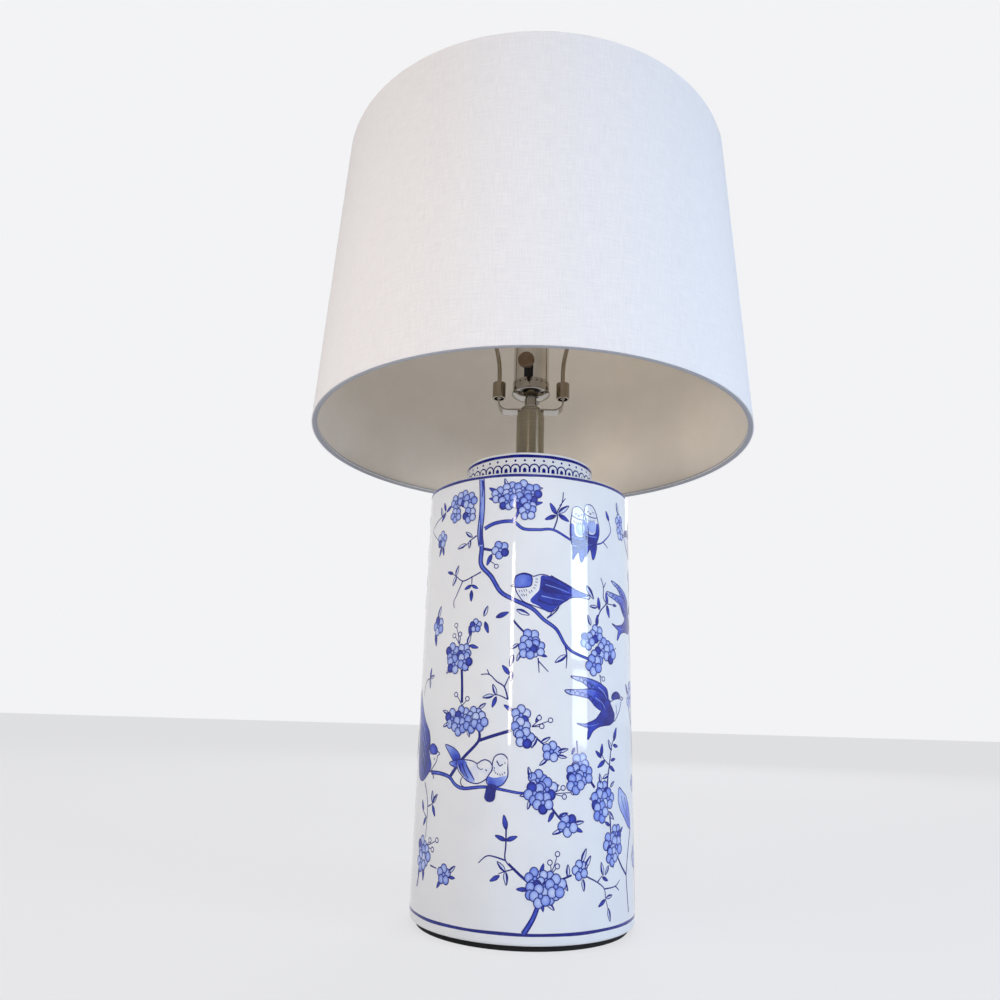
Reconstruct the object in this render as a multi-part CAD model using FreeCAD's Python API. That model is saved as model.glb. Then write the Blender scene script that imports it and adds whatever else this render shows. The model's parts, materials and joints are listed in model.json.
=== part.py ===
import FreeCAD, Part
import math
import os

# Table lamp: a straight porcelain canister on a dark pad, a nickel neck tube, a turn-knob socket
# with its bulb, and a linen drum shade that a wire harp and a finial carry.
# Millimetres. Origin at the centre of the pad's underside, +Z up, the lamp's front towards -Y.

V = FreeCAD.Vector
UP = V(0, 0, 1)

# ---- driving sizes: pad and porcelain canister
pad_thickness = 4.1
pad_inset = 5.0
pad_edge_round = 0.6
body_radius = 89.0
body_height = 342.5
body_wall = 5.5
foot_round = 2.5
shoulder_round = 3.5
collar_radius = 57.4
collar_height = 27.9
collar_rim_round = 1.4
collar_root_round = 1.2
floor_rise = 34.0
floor_thickness = 6.0

# ---- driving sizes: cord inlet
inlet_height = 22.0
inlet_hole_radius = 6.0
grommet_bore_radius = 3.6
grommet_flange_radius = 8.5
grommet_flange_thickness = 1.6
grommet_inner_lip = 1.5

# ---- driving sizes: threaded lamp pipe and what clamps the canister
pipe_radius = 4.8
pipe_bore_radius = 3.2
pipe_hole_clearance = 0.4
pipe_tail = 4.0
gasket_radius = 20.0
gasket_thickness = 1.5
clamp_washer_radius = 18.0
clamp_washer_thickness = 1.6
hex_nut_flats = 14.3
hex_nut_thickness = 5.0

# ---- driving sizes: neck
seat_ring_radius = 20.0
seat_ring_thickness = 4.0
seat_ring_round = 1.5
spigot_height = 4.5
spigot_clearance = 0.05
tube_radius = 13.05
tube_wall = 1.0
tube_length = 51.0
cap_ring_radius = 12.5
cap_ring_thickness = 4.8
cap_ring_round = 1.8

# ---- driving sizes: harp saddle
saddle_width = 12.7
saddle_thickness = 1.6
saddle_hub_radius = 9.8
saddle_reach = 30.4
saddle_bend_radius = 8.4
saddle_tab_rise = 4.9
tongue_width = 6.0
tongue_length = 6.5
saddle_nut_radius = 9.35
saddle_nut_thickness = 2.4
saddle_nut_chamfer = 0.6
lock_washer_radius = 7.0
lock_washer_thickness = 2.0

# ---- driving sizes: socket
hub_radius = 5.9
hub_height = 7.4
hub_screw_radius = 1.5
hub_screw_length = 3.4
bowl_height = 6.0
bowl_ridge_radius = 18.2
bowl_ridge_height = 1.2
bowl_belly_out = 0.72
bowl_belly_up = 0.32
band_radius = 17.4
band_height = 10.4
socket_sheet = 0.6
band_dot_count = 20
band_dot_radius = 0.75
band_dot_depth = 0.4
band_dot_drop = 2.8
band_slit_width = 1.2
band_slit_length = 5.0
shell_length = 48.0
shell_overlap = 8.5
shell_rim_round = 0.25
liner_wall = 0.8
liner_top_gap = 2.0
block_clearance = 0.3
block_height = 26.0
block_foot_radius = 5.5
block_foot_height = 6.0
block_flat = 10.5
block_flat_height = 10.0
terminal_radius = 3.0
terminal_thickness = 2.0
screw_sleeve_wall = 0.4
screw_sleeve_length = 21.0
screw_sleeve_lip = 3.0
contact_radius = 4.0
contact_thickness = 1.0

# ---- driving sizes: turn knob
socket_turn = -9.0
slot_width = 8.6
slot_height = 14.6
knob_radius = 7.6
knob_thickness = 5.0
knob_edge_chamfer = 0.7
knob_neck_radius = 4.0
knob_neck_length = 8.0
knob_neck_gap = 4.0
knob_flute_count = 24
knob_flute_radius = 0.45
shaft_radius = 2.0
shaft_fit = 0.05
shaft_depth = 9.0
shaft_grip = 4.0

# ---- driving sizes: harp
harp_height = 229.0
harp_wire_radius = 2.0
harp_leg_length = 23.0
harp_flare_radius = 115.0
harp_flare_angle = 22.0
harp_side_radius = 200.0
harp_side_angle = 12.0
harp_corner_radius = 30.0
harp_leg_gap = 0.5
prong_slot_clearance = 0.05
ferrule_radius = 6.25
ferrule_length = 16.1
ferrule_wall = 1.5
ferrule_top_wall = 3.0
ferrule_round = 0.8
ferrule_wire_clearance = 0.3
harp_boss_radius = 5.0
harp_boss_height = 6.2
harp_seat_radius = 8.5
harp_seat_thickness = 1.8
stud_radius = 3.1
stud_height = 9.6

# ---- driving sizes: bulb
bulb_length = 108.0
bulb_radius = 30.0
bulb_wall = 1.2
bulb_cap_radius = 13.05
bulb_cap_fit = 0.08
bulb_cap_height = 21.5
bulb_thread_depth = 0.5
bulb_thread_pitch = 3.6
bulb_thread_count = 5
bulb_cap_wall = 0.5
bulb_tip_radius = 4.6
bulb_tip_height = 1.4
bulb_insulator_height = 2.6
bulb_neck_radius = 14.2
bulb_housing_height = 38.0
bulb_joint_radius = 29.0
bulb_housing_hollow = 2.2
bulb_globe_swell = 0.3
bulb_board_radius = 24.0
bulb_board_thickness = 1.6

# ---- driving sizes: shade
shade_recess = 10.2
shade_height = 286.1
shade_bottom_radius = 200.4
shade_taper = 11.5
fabric_thickness = 0.7
liner_thickness = 0.8
trim_thickness = 0.5
trim_height = 4.0
ring_wire_radius = 1.5
ring_clearance = 0.2
spider_arm_radius = 1.25
spider_arm_count = 3
spider_first_arm = 90.0
spider_washer_radius = 12.5
spider_washer_thickness = 1.6
spider_hole_clearance = 0.3
spider_weld_lap = 3.0

# ---- driving sizes: finial
finial_fit = 0.08
finial_base_radius = 7.0
finial_base_height = 3.0
finial_base_round = 1.0
finial_neck_radius = 4.6
finial_neck_height = 5.0
finial_ball_radius = 8.0
finial_ball_sink = 1.6
finial_bore_room = 1.0

# ---- levels, worked out from the foot upwards
pad_radius = body_radius - pad_inset
shoulder_level = pad_thickness + body_height
collar_top = shoulder_level + collar_height
floor_level = pad_thickness + floor_rise
gasket_level = floor_level - gasket_thickness
washer_level = gasket_level - clamp_washer_thickness
nut_level = washer_level - hex_nut_thickness
pipe_bottom = nut_level - pipe_tail
tube_bottom = collar_top + seat_ring_thickness
tube_top = tube_bottom + tube_length
saddle_level = tube_top + cap_ring_thickness
saddle_nut_level = saddle_level + saddle_thickness
lock_washer_level = saddle_nut_level + saddle_nut_thickness
hub_level = lock_washer_level + lock_washer_thickness
bowl_level = hub_level + hub_height
band_level = bowl_level + bowl_height
band_top = band_level + band_height
shell_level = band_top - shell_overlap
shell_top = shell_level + shell_length
bowl_floor = bowl_level + socket_sheet
block_level = bowl_floor + block_foot_height
block_top = block_level + block_height
contact_top = block_top + contact_thickness
slot_top = band_top + slot_height
knob_level = slot_top - slot_width / 2
bulb_bottom = contact_top
bulb_cap_level = bulb_bottom + bulb_tip_height + bulb_insulator_height
bulb_cap_top = bulb_cap_level + bulb_cap_height
bulb_joint_level = bulb_cap_top + bulb_housing_height
bulb_top = bulb_bottom + bulb_length

# ---- radii and reaches that follow
pipe_hole_radius = pipe_radius + pipe_hole_clearance
tube_bore_radius = tube_radius - tube_wall
spigot_radius = tube_bore_radius - spigot_clearance
shell_radius = band_radius - socket_sheet
shell_bore_radius = shell_radius - socket_sheet
liner_bore_radius = shell_bore_radius - liner_wall
block_radius = liner_bore_radius - block_clearance
sleeve_bore_radius = bulb_cap_radius + bulb_cap_fit
knob_inner_face = shell_radius + knob_neck_gap

# ---- harp levels: the tabs rise from the saddle, and the ferrules stand on the tabs' shoulders
saddle_middle = saddle_level + saddle_thickness / 2
ferrule_level = saddle_middle + saddle_bend_radius + saddle_tab_rise
tongue_top = ferrule_level + tongue_length
harp_seat_level = ferrule_level + harp_height
harp_wire_top = harp_seat_level - harp_seat_thickness - harp_boss_height / 2
harp_leg_bottom = ferrule_level + harp_leg_gap

# ---- shade levels
shade_top = harp_seat_level + shade_recess
shade_bottom = shade_top - shade_height


def disc(radius, thickness, bottom, hole=0.0):
    plate = Part.makeCylinder(radius, thickness, V(0, 0, bottom))
    if hole > 0:
        plate = plate.cut(Part.makeCylinder(hole, thickness, V(0, 0, bottom)))
    return plate


def is_rim(edge, radius, level):
    if not isinstance(edge.Curve, Part.Circle):
        return False
    same_radius = abs(edge.Curve.Radius - radius) < 0.01
    return same_radius and abs(edge.Curve.Center.z - level) < 0.01


def round_rim(solid, size, radius, level):
    rims = [edge for edge in solid.Edges if is_rim(edge, radius, level)]
    return solid.makeFillet(size, rims)


def chamfer_rim(solid, size, radius, level):
    rims = [edge for edge in solid.Edges if is_rim(edge, radius, level)]
    return solid.makeChamfer(size, rims)


def line(start, end):
    return Part.LineSegment(start, end).toShape()


def arc(start, middle, end):
    return Part.Arc(start, middle, end).toShape()


def face_from_points(points):
    corners = [V(radius, 0, level) for radius, level in points]
    return Part.Face(Part.makePolygon(corners + corners[:1]))


def turned(face):
    return face.revolve(V(0, 0, 0), UP, 360)


def facing(solid, degrees):
    return solid.rotated(V(0, 0, 0), UP, degrees)


def save(name, shape):
    shape.exportStep("parts/" + name + ".step")
    print(name, len(shape.Solids), "solid(s),", round(shape.Volume), "mm3")


# ---- porcelain canister and its foot
def make_body():
    outside = disc(body_radius, body_height, pad_thickness)
    outside = round_rim(outside, foot_round, body_radius, pad_thickness)
    outside = round_rim(outside, shoulder_round, body_radius, shoulder_level)
    collar = disc(collar_radius, collar_height, shoulder_level)
    collar = round_rim(collar, collar_rim_round, collar_radius, collar_top)
    outside = outside.fuse(collar).removeSplitter()
    outside = round_rim(outside, collar_root_round, collar_radius, shoulder_level)
    hollow_radius = body_radius - body_wall
    hollow_bottom = floor_level + floor_thickness
    hollow = disc(hollow_radius, shoulder_level - body_wall - hollow_bottom, hollow_bottom)
    collar_hollow = disc(collar_radius - body_wall, collar_height, shoulder_level - body_wall)
    recess = disc(hollow_radius, floor_rise, pad_thickness)
    pipe_hole = disc(pipe_hole_radius, collar_top, 0)
    cord_hole = Part.makeCylinder(inlet_hole_radius, body_radius, V(0, 0, inlet_height), V(0, 1, 0))
    cuts = [hollow.fuse(collar_hollow), recess, pipe_hole, cord_hole]
    return outside.cut(cuts)


def make_pad():
    pad = disc(pad_radius, pad_thickness, 0)
    return round_rim(pad, pad_edge_round, pad_radius, 0)


def make_grommet():
    inner_end = body_radius - body_wall - grommet_inner_lip
    outer_end = body_radius + grommet_flange_thickness
    start = V(0, inner_end, inlet_height)
    along = V(0, 1, 0)
    sleeve = Part.makeCylinder(inlet_hole_radius, outer_end - inner_end, start, along)
    flange = Part.makeCylinder(grommet_flange_radius, outer_end, V(0, 0, inlet_height), along)
    flange = flange.cut(disc(body_radius, body_height, 0))
    bore = Part.makeCylinder(grommet_bore_radius, outer_end, V(0, 0, inlet_height), along)
    return sleeve.fuse(flange).cut(bore).removeSplitter()


# ---- the pipe through the canister, clamped by a nut under the floor
def make_pipe():
    length = hub_level + hub_height - pipe_bottom
    return disc(pipe_radius, length, pipe_bottom, pipe_bore_radius)


def make_hex_nut():
    corner_radius = hex_nut_flats / math.sqrt(3)
    angles = [math.radians(60 * corner) for corner in range(6)]
    corners = [V(corner_radius * math.cos(a), corner_radius * math.sin(a), nut_level) for a in angles]
    prism = Part.Face(Part.makePolygon(corners + corners[:1])).extrude(UP * hex_nut_thickness)
    return prism.cut(disc(pipe_radius, hex_nut_thickness, nut_level))


# ---- neck: seat ring, tube and cap ring
def make_seat_ring():
    ring = disc(seat_ring_radius, seat_ring_thickness, collar_top)
    ring = round_rim(ring, seat_ring_round, seat_ring_radius, tube_bottom)
    ring = ring.fuse(disc(spigot_radius, spigot_height, tube_bottom))
    return ring.cut(disc(pipe_radius, seat_ring_thickness + spigot_height, collar_top))


def make_cap_ring():
    ring = disc(cap_ring_radius, cap_ring_thickness, tube_top)
    ring = round_rim(ring, cap_ring_round, cap_ring_radius, saddle_level)
    ring = ring.fuse(disc(spigot_radius, spigot_height, tube_top - spigot_height))
    return ring.cut(disc(pipe_radius, cap_ring_thickness + spigot_height, tube_top - spigot_height))


# ---- harp saddle: a strip bent up at both ends, each end narrowed to a tongue
def saddle_arm():
    bend_start = saddle_reach - saddle_bend_radius
    bend_centre = saddle_middle + saddle_bend_radius
    half = saddle_thickness / 2
    inner = saddle_bend_radius - half
    outer = saddle_bend_radius + half
    lean = math.sqrt(0.5)
    edges = [
        line(V(0, 0, saddle_level), V(bend_start, 0, saddle_level)),
        arc(V(bend_start, 0, saddle_level),
            V(bend_start + outer * lean, 0, bend_centre - outer * lean),
            V(bend_start + outer, 0, bend_centre)),
        line(V(bend_start + outer, 0, bend_centre), V(bend_start + outer, 0, tongue_top)),
        line(V(bend_start + outer, 0, tongue_top), V(bend_start + inner, 0, tongue_top)),
        line(V(bend_start + inner, 0, tongue_top), V(bend_start + inner, 0, bend_centre)),
        arc(V(bend_start + inner, 0, bend_centre),
            V(bend_start + inner * lean, 0, bend_centre - inner * lean),
            V(bend_start, 0, saddle_nut_level)),
        line(V(bend_start, 0, saddle_nut_level), V(0, 0, saddle_nut_level)),
        line(V(0, 0, saddle_nut_level), V(0, 0, saddle_level)),
    ]
    strip = Part.Face(Part.Wire(edges)).extrude(V(0, saddle_width, 0))
    strip.translate(V(0, -saddle_width / 2, 0))
    beside = (saddle_width - tongue_width) / 2
    notch = Part.makeBox(2 * outer, beside, 2 * tongue_length)
    notch.translate(V(bend_start, tongue_width / 2, ferrule_level))
    return strip.cut([notch, notch.mirror(V(0, 0, 0), V(0, 1, 0))])


def make_saddle():
    arm = saddle_arm()
    hub = disc(saddle_hub_radius, saddle_thickness, saddle_level)
    saddle = hub.fuse([arm, arm.mirror(V(0, 0, 0), V(1, 0, 0))])
    return saddle.cut(disc(pipe_radius, saddle_thickness, saddle_level)).removeSplitter()


def make_saddle_nut():
    nut = disc(saddle_nut_radius, saddle_nut_thickness, saddle_nut_level)
    nut = chamfer_rim(nut, saddle_nut_chamfer, saddle_nut_radius, lock_washer_level)
    return nut.cut(disc(pipe_radius, saddle_nut_thickness, saddle_nut_level))


# ---- socket: a spun bowl with a threaded hub, a band, and the shell that pushes into the band
def bowl_face():
    ridge_level = band_level - bowl_ridge_height
    belly_rise = (ridge_level - bowl_level) * bowl_belly_up
    out_middle = V(bowl_ridge_radius * bowl_belly_out, 0, bowl_level + belly_rise)
    inward = socket_sheet * math.sqrt(0.5)
    in_middle = out_middle + V(-inward, 0, inward)
    band_bore = band_radius - socket_sheet
    edges = [
        line(V(pipe_radius, 0, bowl_level), V(hub_radius, 0, bowl_level)),
        arc(V(hub_radius, 0, bowl_level), out_middle, V(bowl_ridge_radius, 0, ridge_level)),
        line(V(bowl_ridge_radius, 0, ridge_level), V(bowl_ridge_radius, 0, band_level)),
        line(V(bowl_ridge_radius, 0, band_level), V(band_radius, 0, band_level)),
        line(V(band_radius, 0, band_level), V(band_radius, 0, band_top)),
        line(V(band_radius, 0, band_top), V(band_bore, 0, band_top)),
        line(V(band_bore, 0, band_top), V(band_bore, 0, ridge_level)),
        arc(V(band_bore, 0, ridge_level), in_middle, V(hub_radius, 0, bowl_floor)),
        line(V(hub_radius, 0, bowl_floor), V(pipe_radius, 0, bowl_floor)),
        line(V(pipe_radius, 0, bowl_floor), V(pipe_radius, 0, bowl_level)),
    ]
    return Part.Face(Part.Wire(edges))


def band_dots():
    level = band_top - band_dot_drop
    step = 360 / band_dot_count
    reach = band_radius - band_dot_depth + band_dot_radius
    dot = Part.makeSphere(band_dot_radius, V(0, -reach, level))
    return [facing(dot, step * (index + 0.5)) for index in range(band_dot_count)]


def make_socket_cap():
    hub = disc(hub_radius, hub_height, hub_level, pipe_radius)
    cap = turned(bowl_face()).fuse(hub).removeSplitter()
    slit = Part.makeBox(band_slit_width, 2 * socket_sheet, band_slit_length)
    slit.translate(V(-band_slit_width / 2, -band_radius - socket_sheet, band_top - band_slit_length))
    return cap.cut(band_dots() + [slit, hub_screw_hole()])


def hub_screw_hole():
    screw_level = hub_level + hub_height / 2
    return Part.makeCylinder(hub_screw_radius, 2 * hub_radius, V(0, 0, screw_level), V(1, 0, 0))


def make_hub_screw():
    screw_level = hub_level + hub_height / 2
    return Part.makeCylinder(hub_screw_radius, hub_screw_length, V(pipe_radius, 0, screw_level), V(1, 0, 0))


def knob_slot():
    reach = 2 * shell_radius
    low = Part.makeBox(slot_width, reach, knob_level - shell_level)
    low.translate(V(-slot_width / 2, -reach, shell_level))
    arch = Part.makeCylinder(slot_width / 2, reach, V(0, -reach, knob_level), V(0, 1, 0))
    return low.fuse(arch)


def make_shell():
    shell = disc(shell_radius, shell_length, shell_level, shell_bore_radius)
    shell = round_rim(shell, shell_rim_round, shell_radius, shell_top)
    return shell.cut(knob_slot())


def make_liner():
    length = shell_top - liner_top_gap - shell_level
    liner = disc(shell_bore_radius, length, shell_level, liner_bore_radius)
    return liner.cut(shaft_hole(2 * shaft_fit))


def make_block():
    block = disc(block_radius, block_height, block_level)
    block = block.fuse(disc(block_foot_radius, block_foot_height, bowl_floor)).removeSplitter()
    flat = Part.makeBox(block_radius, 2 * block_radius, block_flat_height)
    flat.translate(V(block_flat, -block_radius, block_level))
    return block.cut([flat, flat.mirror(V(0, 0, 0), V(1, 0, 0)), shaft_hole(shaft_fit)])


def make_terminals():
    level = block_level + block_flat_height / 2
    screw = Part.makeCylinder(terminal_radius, terminal_thickness, V(block_flat, 0, level), V(1, 0, 0))
    return Part.Compound([screw, screw.mirror(V(0, 0, 0), V(1, 0, 0))])


def make_screw_sleeve():
    outer = sleeve_bore_radius + screw_sleeve_wall
    sleeve = disc(outer, screw_sleeve_length, block_top, sleeve_bore_radius)
    lip = disc(outer, screw_sleeve_wall, block_top, outer - screw_sleeve_lip)
    return sleeve.fuse(lip).removeSplitter()


# ---- turn knob and its shaft
def shaft_hole(clearance):
    inner_end = shell_bore_radius - shaft_depth
    start = V(0, -inner_end, knob_level)
    return Part.makeCylinder(shaft_radius + clearance, shell_radius, start, V(0, -1, 0))


def make_shaft():
    inner_end = shell_bore_radius - shaft_depth + shaft_fit
    length = knob_inner_face + shaft_grip - inner_end
    return Part.makeCylinder(shaft_radius, length, V(0, -inner_end, knob_level), V(0, -1, 0))


def make_knob():
    outward = V(0, -1, 0)
    centre = V(0, 0, 0)
    neck = Part.makeCylinder(knob_neck_radius, knob_neck_length, centre, UP)
    head = Part.makeCylinder(knob_radius, knob_thickness, UP * knob_neck_length, UP)
    rims = [edge for edge in head.Edges if isinstance(edge.Curve, Part.Circle)]
    head = head.makeChamfer(knob_edge_chamfer, rims)
    flute = Part.makeCylinder(knob_flute_radius, knob_thickness, V(knob_radius, 0, knob_neck_length))
    flutes = [facing(flute, 360 / knob_flute_count * index) for index in range(knob_flute_count)]
    knob = neck.fuse(head.cut(flutes))
    knob = knob.cut(Part.makeCylinder(shaft_radius, shaft_grip, centre, UP))
    knob.rotate(centre, V(1, 0, 0), 90)
    knob.translate(outward * knob_inner_face + UP * knob_level)
    return knob


# ---- harp: one bent wire, its stud, and the two ferrules that lock its legs
def walk(start, heading, steps):
    # steps are ("line", length, 0) or ("arc", radius, turn); a positive turn leans towards +X
    edges = []
    point = start
    for kind, size, turn in steps:
        away = V(math.sin(heading), 0, math.cos(heading))
        if kind == "line":
            end = point + away * size
            edges.append(line(point, end))
        else:
            side = 1 if turn > 0 else -1
            centre = point + V(math.cos(heading), 0, -math.sin(heading)) * (side * size)
            spoke = point - centre
            end = centre + swung(spoke, turn)
            edges.append(arc(point, centre + swung(spoke, turn / 2), end))
            heading += turn
        point = end
    return edges


def swung(spoke, angle):
    cosine = math.cos(angle)
    sine = math.sin(angle)
    return V(spoke.x * cosine + spoke.z * sine, 0, spoke.z * cosine - spoke.x * sine)


def harp_path():
    flare = math.radians(harp_flare_angle)
    side = math.radians(harp_side_angle)
    leg_top = harp_leg_bottom + harp_leg_length
    flare_rise = harp_flare_radius * math.sin(flare)
    side_rise = harp_side_radius * (math.sin(flare) + math.sin(side))
    corner_rise = harp_corner_radius * (1 - math.sin(side))
    side_line = (harp_wire_top - leg_top - flare_rise - side_rise - corner_rise) / math.cos(side)
    flare_out = harp_flare_radius * (1 - math.cos(flare))
    side_out = harp_side_radius * (math.cos(side) - math.cos(flare))
    corner_in = harp_corner_radius * math.cos(side)
    top_line = saddle_reach + flare_out + side_out - side_line * math.sin(side) - corner_in
    up_right = [
        ("line", harp_leg_length, 0),
        ("arc", harp_flare_radius, flare),
        ("arc", harp_side_radius, -(flare + side)),
        ("line", side_line, 0),
        ("arc", harp_corner_radius, side - math.pi / 2),
        ("line", 2 * top_line, 0),
    ]
    down_left = list(reversed(up_right[:-1]))
    return Part.Wire(walk(V(saddle_reach, 0, harp_leg_bottom), 0, up_right + down_left))


def make_harp():
    section = Part.Wire(Part.Circle(V(saddle_reach, 0, harp_leg_bottom), UP, harp_wire_radius).toShape())
    wire = harp_path().makePipeShell([section], True, False)
    slot_thickness = saddle_thickness + 2 * prong_slot_clearance
    slot = Part.makeBox(slot_thickness, 4 * harp_wire_radius, tongue_top - harp_leg_bottom)
    slot.translate(V(saddle_reach - slot_thickness / 2, -2 * harp_wire_radius, harp_leg_bottom))
    return wire.cut([slot, slot.mirror(V(0, 0, 0), V(1, 0, 0))])


def make_stud():
    boss_level = harp_wire_top - harp_boss_height / 2
    boss = disc(harp_boss_radius, harp_boss_height, boss_level)
    seat = disc(harp_seat_radius, harp_seat_thickness, harp_seat_level - harp_seat_thickness)
    stud = disc(stud_radius, stud_height, harp_seat_level)
    wire_start = V(-harp_seat_radius, 0, harp_wire_top)
    wire = Part.makeCylinder(harp_wire_radius, 2 * harp_seat_radius, wire_start, V(1, 0, 0))
    return boss.fuse([seat, stud]).cut(wire).removeSplitter()


def make_ferrule(side):
    top = ferrule_level + ferrule_length
    ferrule = disc(ferrule_radius, ferrule_length, ferrule_level)
    ferrule = round_rim(ferrule, ferrule_round, ferrule_radius, top)
    bore = disc(ferrule_radius - ferrule_wall, ferrule_length - ferrule_top_wall, ferrule_level)
    wire_hole = disc(harp_wire_radius + ferrule_wire_clearance, ferrule_length, ferrule_level)
    ferrule = ferrule.cut([bore, wire_hole])
    ferrule.translate(V(side * saddle_reach, 0, 0))
    return ferrule


# ---- bulb: screw cap, tip, housing, board and globe
def make_bulb_cap():
    valley = bulb_cap_radius - bulb_thread_depth
    wall = disc(valley, bulb_cap_height, bulb_cap_level, valley - bulb_cap_wall)
    ridges = [thread_ridge(bulb_cap_level + bulb_thread_pitch * turn) for turn in range(bulb_thread_count)]
    return wall.fuse(ridges).removeSplitter()


def thread_ridge(low):
    # one rolled turn of the thread, as a closed ring sunk halfway into the wall
    crest = bulb_cap_radius
    valley = bulb_cap_radius - bulb_thread_depth
    root = valley - bulb_cap_wall / 2
    high = low + bulb_thread_pitch
    edges = [
        arc(V(valley, 0, low), V(crest, 0, (low + high) / 2), V(valley, 0, high)),
        line(V(valley, 0, high), V(root, 0, high)),
        line(V(root, 0, high), V(root, 0, low)),
        line(V(root, 0, low), V(valley, 0, low)),
    ]
    return turned(Part.Face(Part.Wire(edges)))


def make_bulb_insulator():
    valley = bulb_cap_radius - bulb_thread_depth
    low = bulb_bottom + bulb_tip_height
    points = [(0, low), (bulb_tip_radius, low), (valley, bulb_cap_level), (0, bulb_cap_level)]
    return turned(face_from_points(points))


def make_bulb_tip():
    tip = disc(bulb_tip_radius, bulb_tip_height, bulb_bottom)
    return round_rim(tip, bulb_tip_height / 2, bulb_tip_radius, bulb_bottom)


def bulb_housing_solid(inset):
    start = bulb_cap_top
    waist = (bulb_neck_radius + bulb_joint_radius) / 2 - bulb_housing_hollow - inset
    lean = V(waist, 0, (start + bulb_joint_level) / 2)
    edges = [
        line(V(0, 0, start), V(bulb_neck_radius - inset, 0, start)),
        arc(V(bulb_neck_radius - inset, 0, start), lean, V(bulb_joint_radius - inset, 0, bulb_joint_level)),
        line(V(bulb_joint_radius - inset, 0, bulb_joint_level), V(0, 0, bulb_joint_level)),
        line(V(0, 0, bulb_joint_level), V(0, 0, start)),
    ]
    return turned(Part.Face(Part.Wire(edges)))


def make_bulb_housing():
    return bulb_housing_solid(0).cut(bulb_housing_solid(bulb_wall))


def bulb_globe_solid(inset):
    shoulder = V(bulb_joint_radius - inset, 0, bulb_joint_level)
    widest_level = bulb_top - bulb_radius
    widest = V(bulb_radius - inset, 0, widest_level)
    lean = V(widest.x - bulb_globe_swell, 0, (bulb_joint_level + widest_level) / 2)
    diagonal = (bulb_radius - inset) * math.sqrt(0.5)
    top = V(0, 0, widest_level + bulb_radius - inset)
    edges = [
        line(V(0, 0, bulb_joint_level), shoulder),
        arc(shoulder, lean, widest),
        arc(widest, V(diagonal, 0, widest_level + diagonal), top),
        line(top, V(0, 0, bulb_joint_level)),
    ]
    return turned(Part.Face(Part.Wire(edges)))


def make_bulb_globe():
    return bulb_globe_solid(0).cut(bulb_globe_solid(bulb_wall))


def make_bulb_board():
    rim = bulb_joint_radius - bulb_wall
    board = disc(bulb_board_radius, bulb_board_thickness, bulb_joint_level)
    foot = disc(rim, bulb_board_thickness, bulb_joint_level, bulb_board_radius)
    return board.fuse(foot).removeSplitter()


# ---- shade: two rings, a spider, the laminated wall and the hems
def wall_radius(level, inset):
    share = (level - shade_bottom) / shade_height
    outside = shade_bottom_radius - shade_taper * share
    return outside - trim_thickness - inset


def wall_face(inset, thickness):
    low = shade_bottom + trim_thickness
    high = shade_top - trim_thickness
    return face_from_points([
        (wall_radius(low, inset), low),
        (wall_radius(high, inset), high),
        (wall_radius(high, inset + thickness), high),
        (wall_radius(low, inset + thickness), low),
    ])


def ring_centre(level):
    reach = fabric_thickness + liner_thickness + ring_wire_radius + ring_clearance
    return V(wall_radius(level, reach), 0, level)


bottom_ring_centre = ring_centre(shade_bottom + trim_thickness + ring_wire_radius)
top_ring_centre = ring_centre(shade_top - trim_thickness - ring_wire_radius)


def make_ring(centre):
    return Part.makeTorus(centre.x, ring_wire_radius, V(0, 0, centre.z))


def make_hem(ring, closed, opening):
    # a tape folded over the wall's edge and round the ring, closed at the shade's end
    fold = closed + math.copysign(trim_thickness, opening - closed)
    bore = ring.x - ring_wire_radius - ring_clearance
    return turned(face_from_points([
        (bore - trim_thickness, opening),
        (bore - trim_thickness, closed),
        (wall_radius(closed, -trim_thickness), closed),
        (wall_radius(opening, -trim_thickness), opening),
        (wall_radius(opening, 0), opening),
        (wall_radius(fold, 0), fold),
        (bore, fold),
        (bore, opening),
    ]))


def spider_arm():
    # runs level from the washer, then curves up and ends butted against the ring's underside
    washer_middle = harp_seat_level + spider_washer_thickness / 2
    butt = top_ring_centre - UP * ring_wire_radius
    bend = butt.z - washer_middle
    inner = V(spider_washer_radius - spider_weld_lap, 0, washer_middle)
    bend_start = V(butt.x - bend, 0, washer_middle)
    lean = math.sqrt(0.5)
    middle = bend_start + V(bend * lean, 0, bend * (1 - lean))
    path = Part.Wire([line(inner, bend_start), arc(bend_start, middle, butt)])
    section = Part.Wire(Part.Circle(inner, V(1, 0, 0), spider_arm_radius).toShape())
    return path.makePipeShell([section], True, False).cut(make_spider_washer())


def make_spider_arms():
    arm = spider_arm()
    step = 360 / spider_arm_count
    angles = [spider_first_arm + step * index for index in range(spider_arm_count)]
    return Part.Compound([facing(arm, angle) for angle in angles])


def make_spider_washer():
    hole = stud_radius + spider_hole_clearance
    return disc(spider_washer_radius, spider_washer_thickness, harp_seat_level, hole)


# ---- finial: a turned ball that screws onto the stud
def make_finial():
    low = harp_seat_level + spider_washer_thickness
    neck_level = low + finial_base_height
    ball_level = neck_level + finial_neck_height + finial_ball_radius - finial_ball_sink
    base = disc(finial_base_radius, finial_base_height, low)
    base = round_rim(base, finial_base_round, finial_base_radius, neck_level)
    neck = disc(finial_neck_radius, ball_level - neck_level, neck_level)
    ball = Part.makeSphere(finial_ball_radius, V(0, 0, ball_level))
    bore_depth = stud_height - spider_washer_thickness + finial_bore_room
    bore = disc(stud_radius + finial_fit, bore_depth, low)
    return base.fuse([neck, ball]).cut(bore).removeSplitter()


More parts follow.
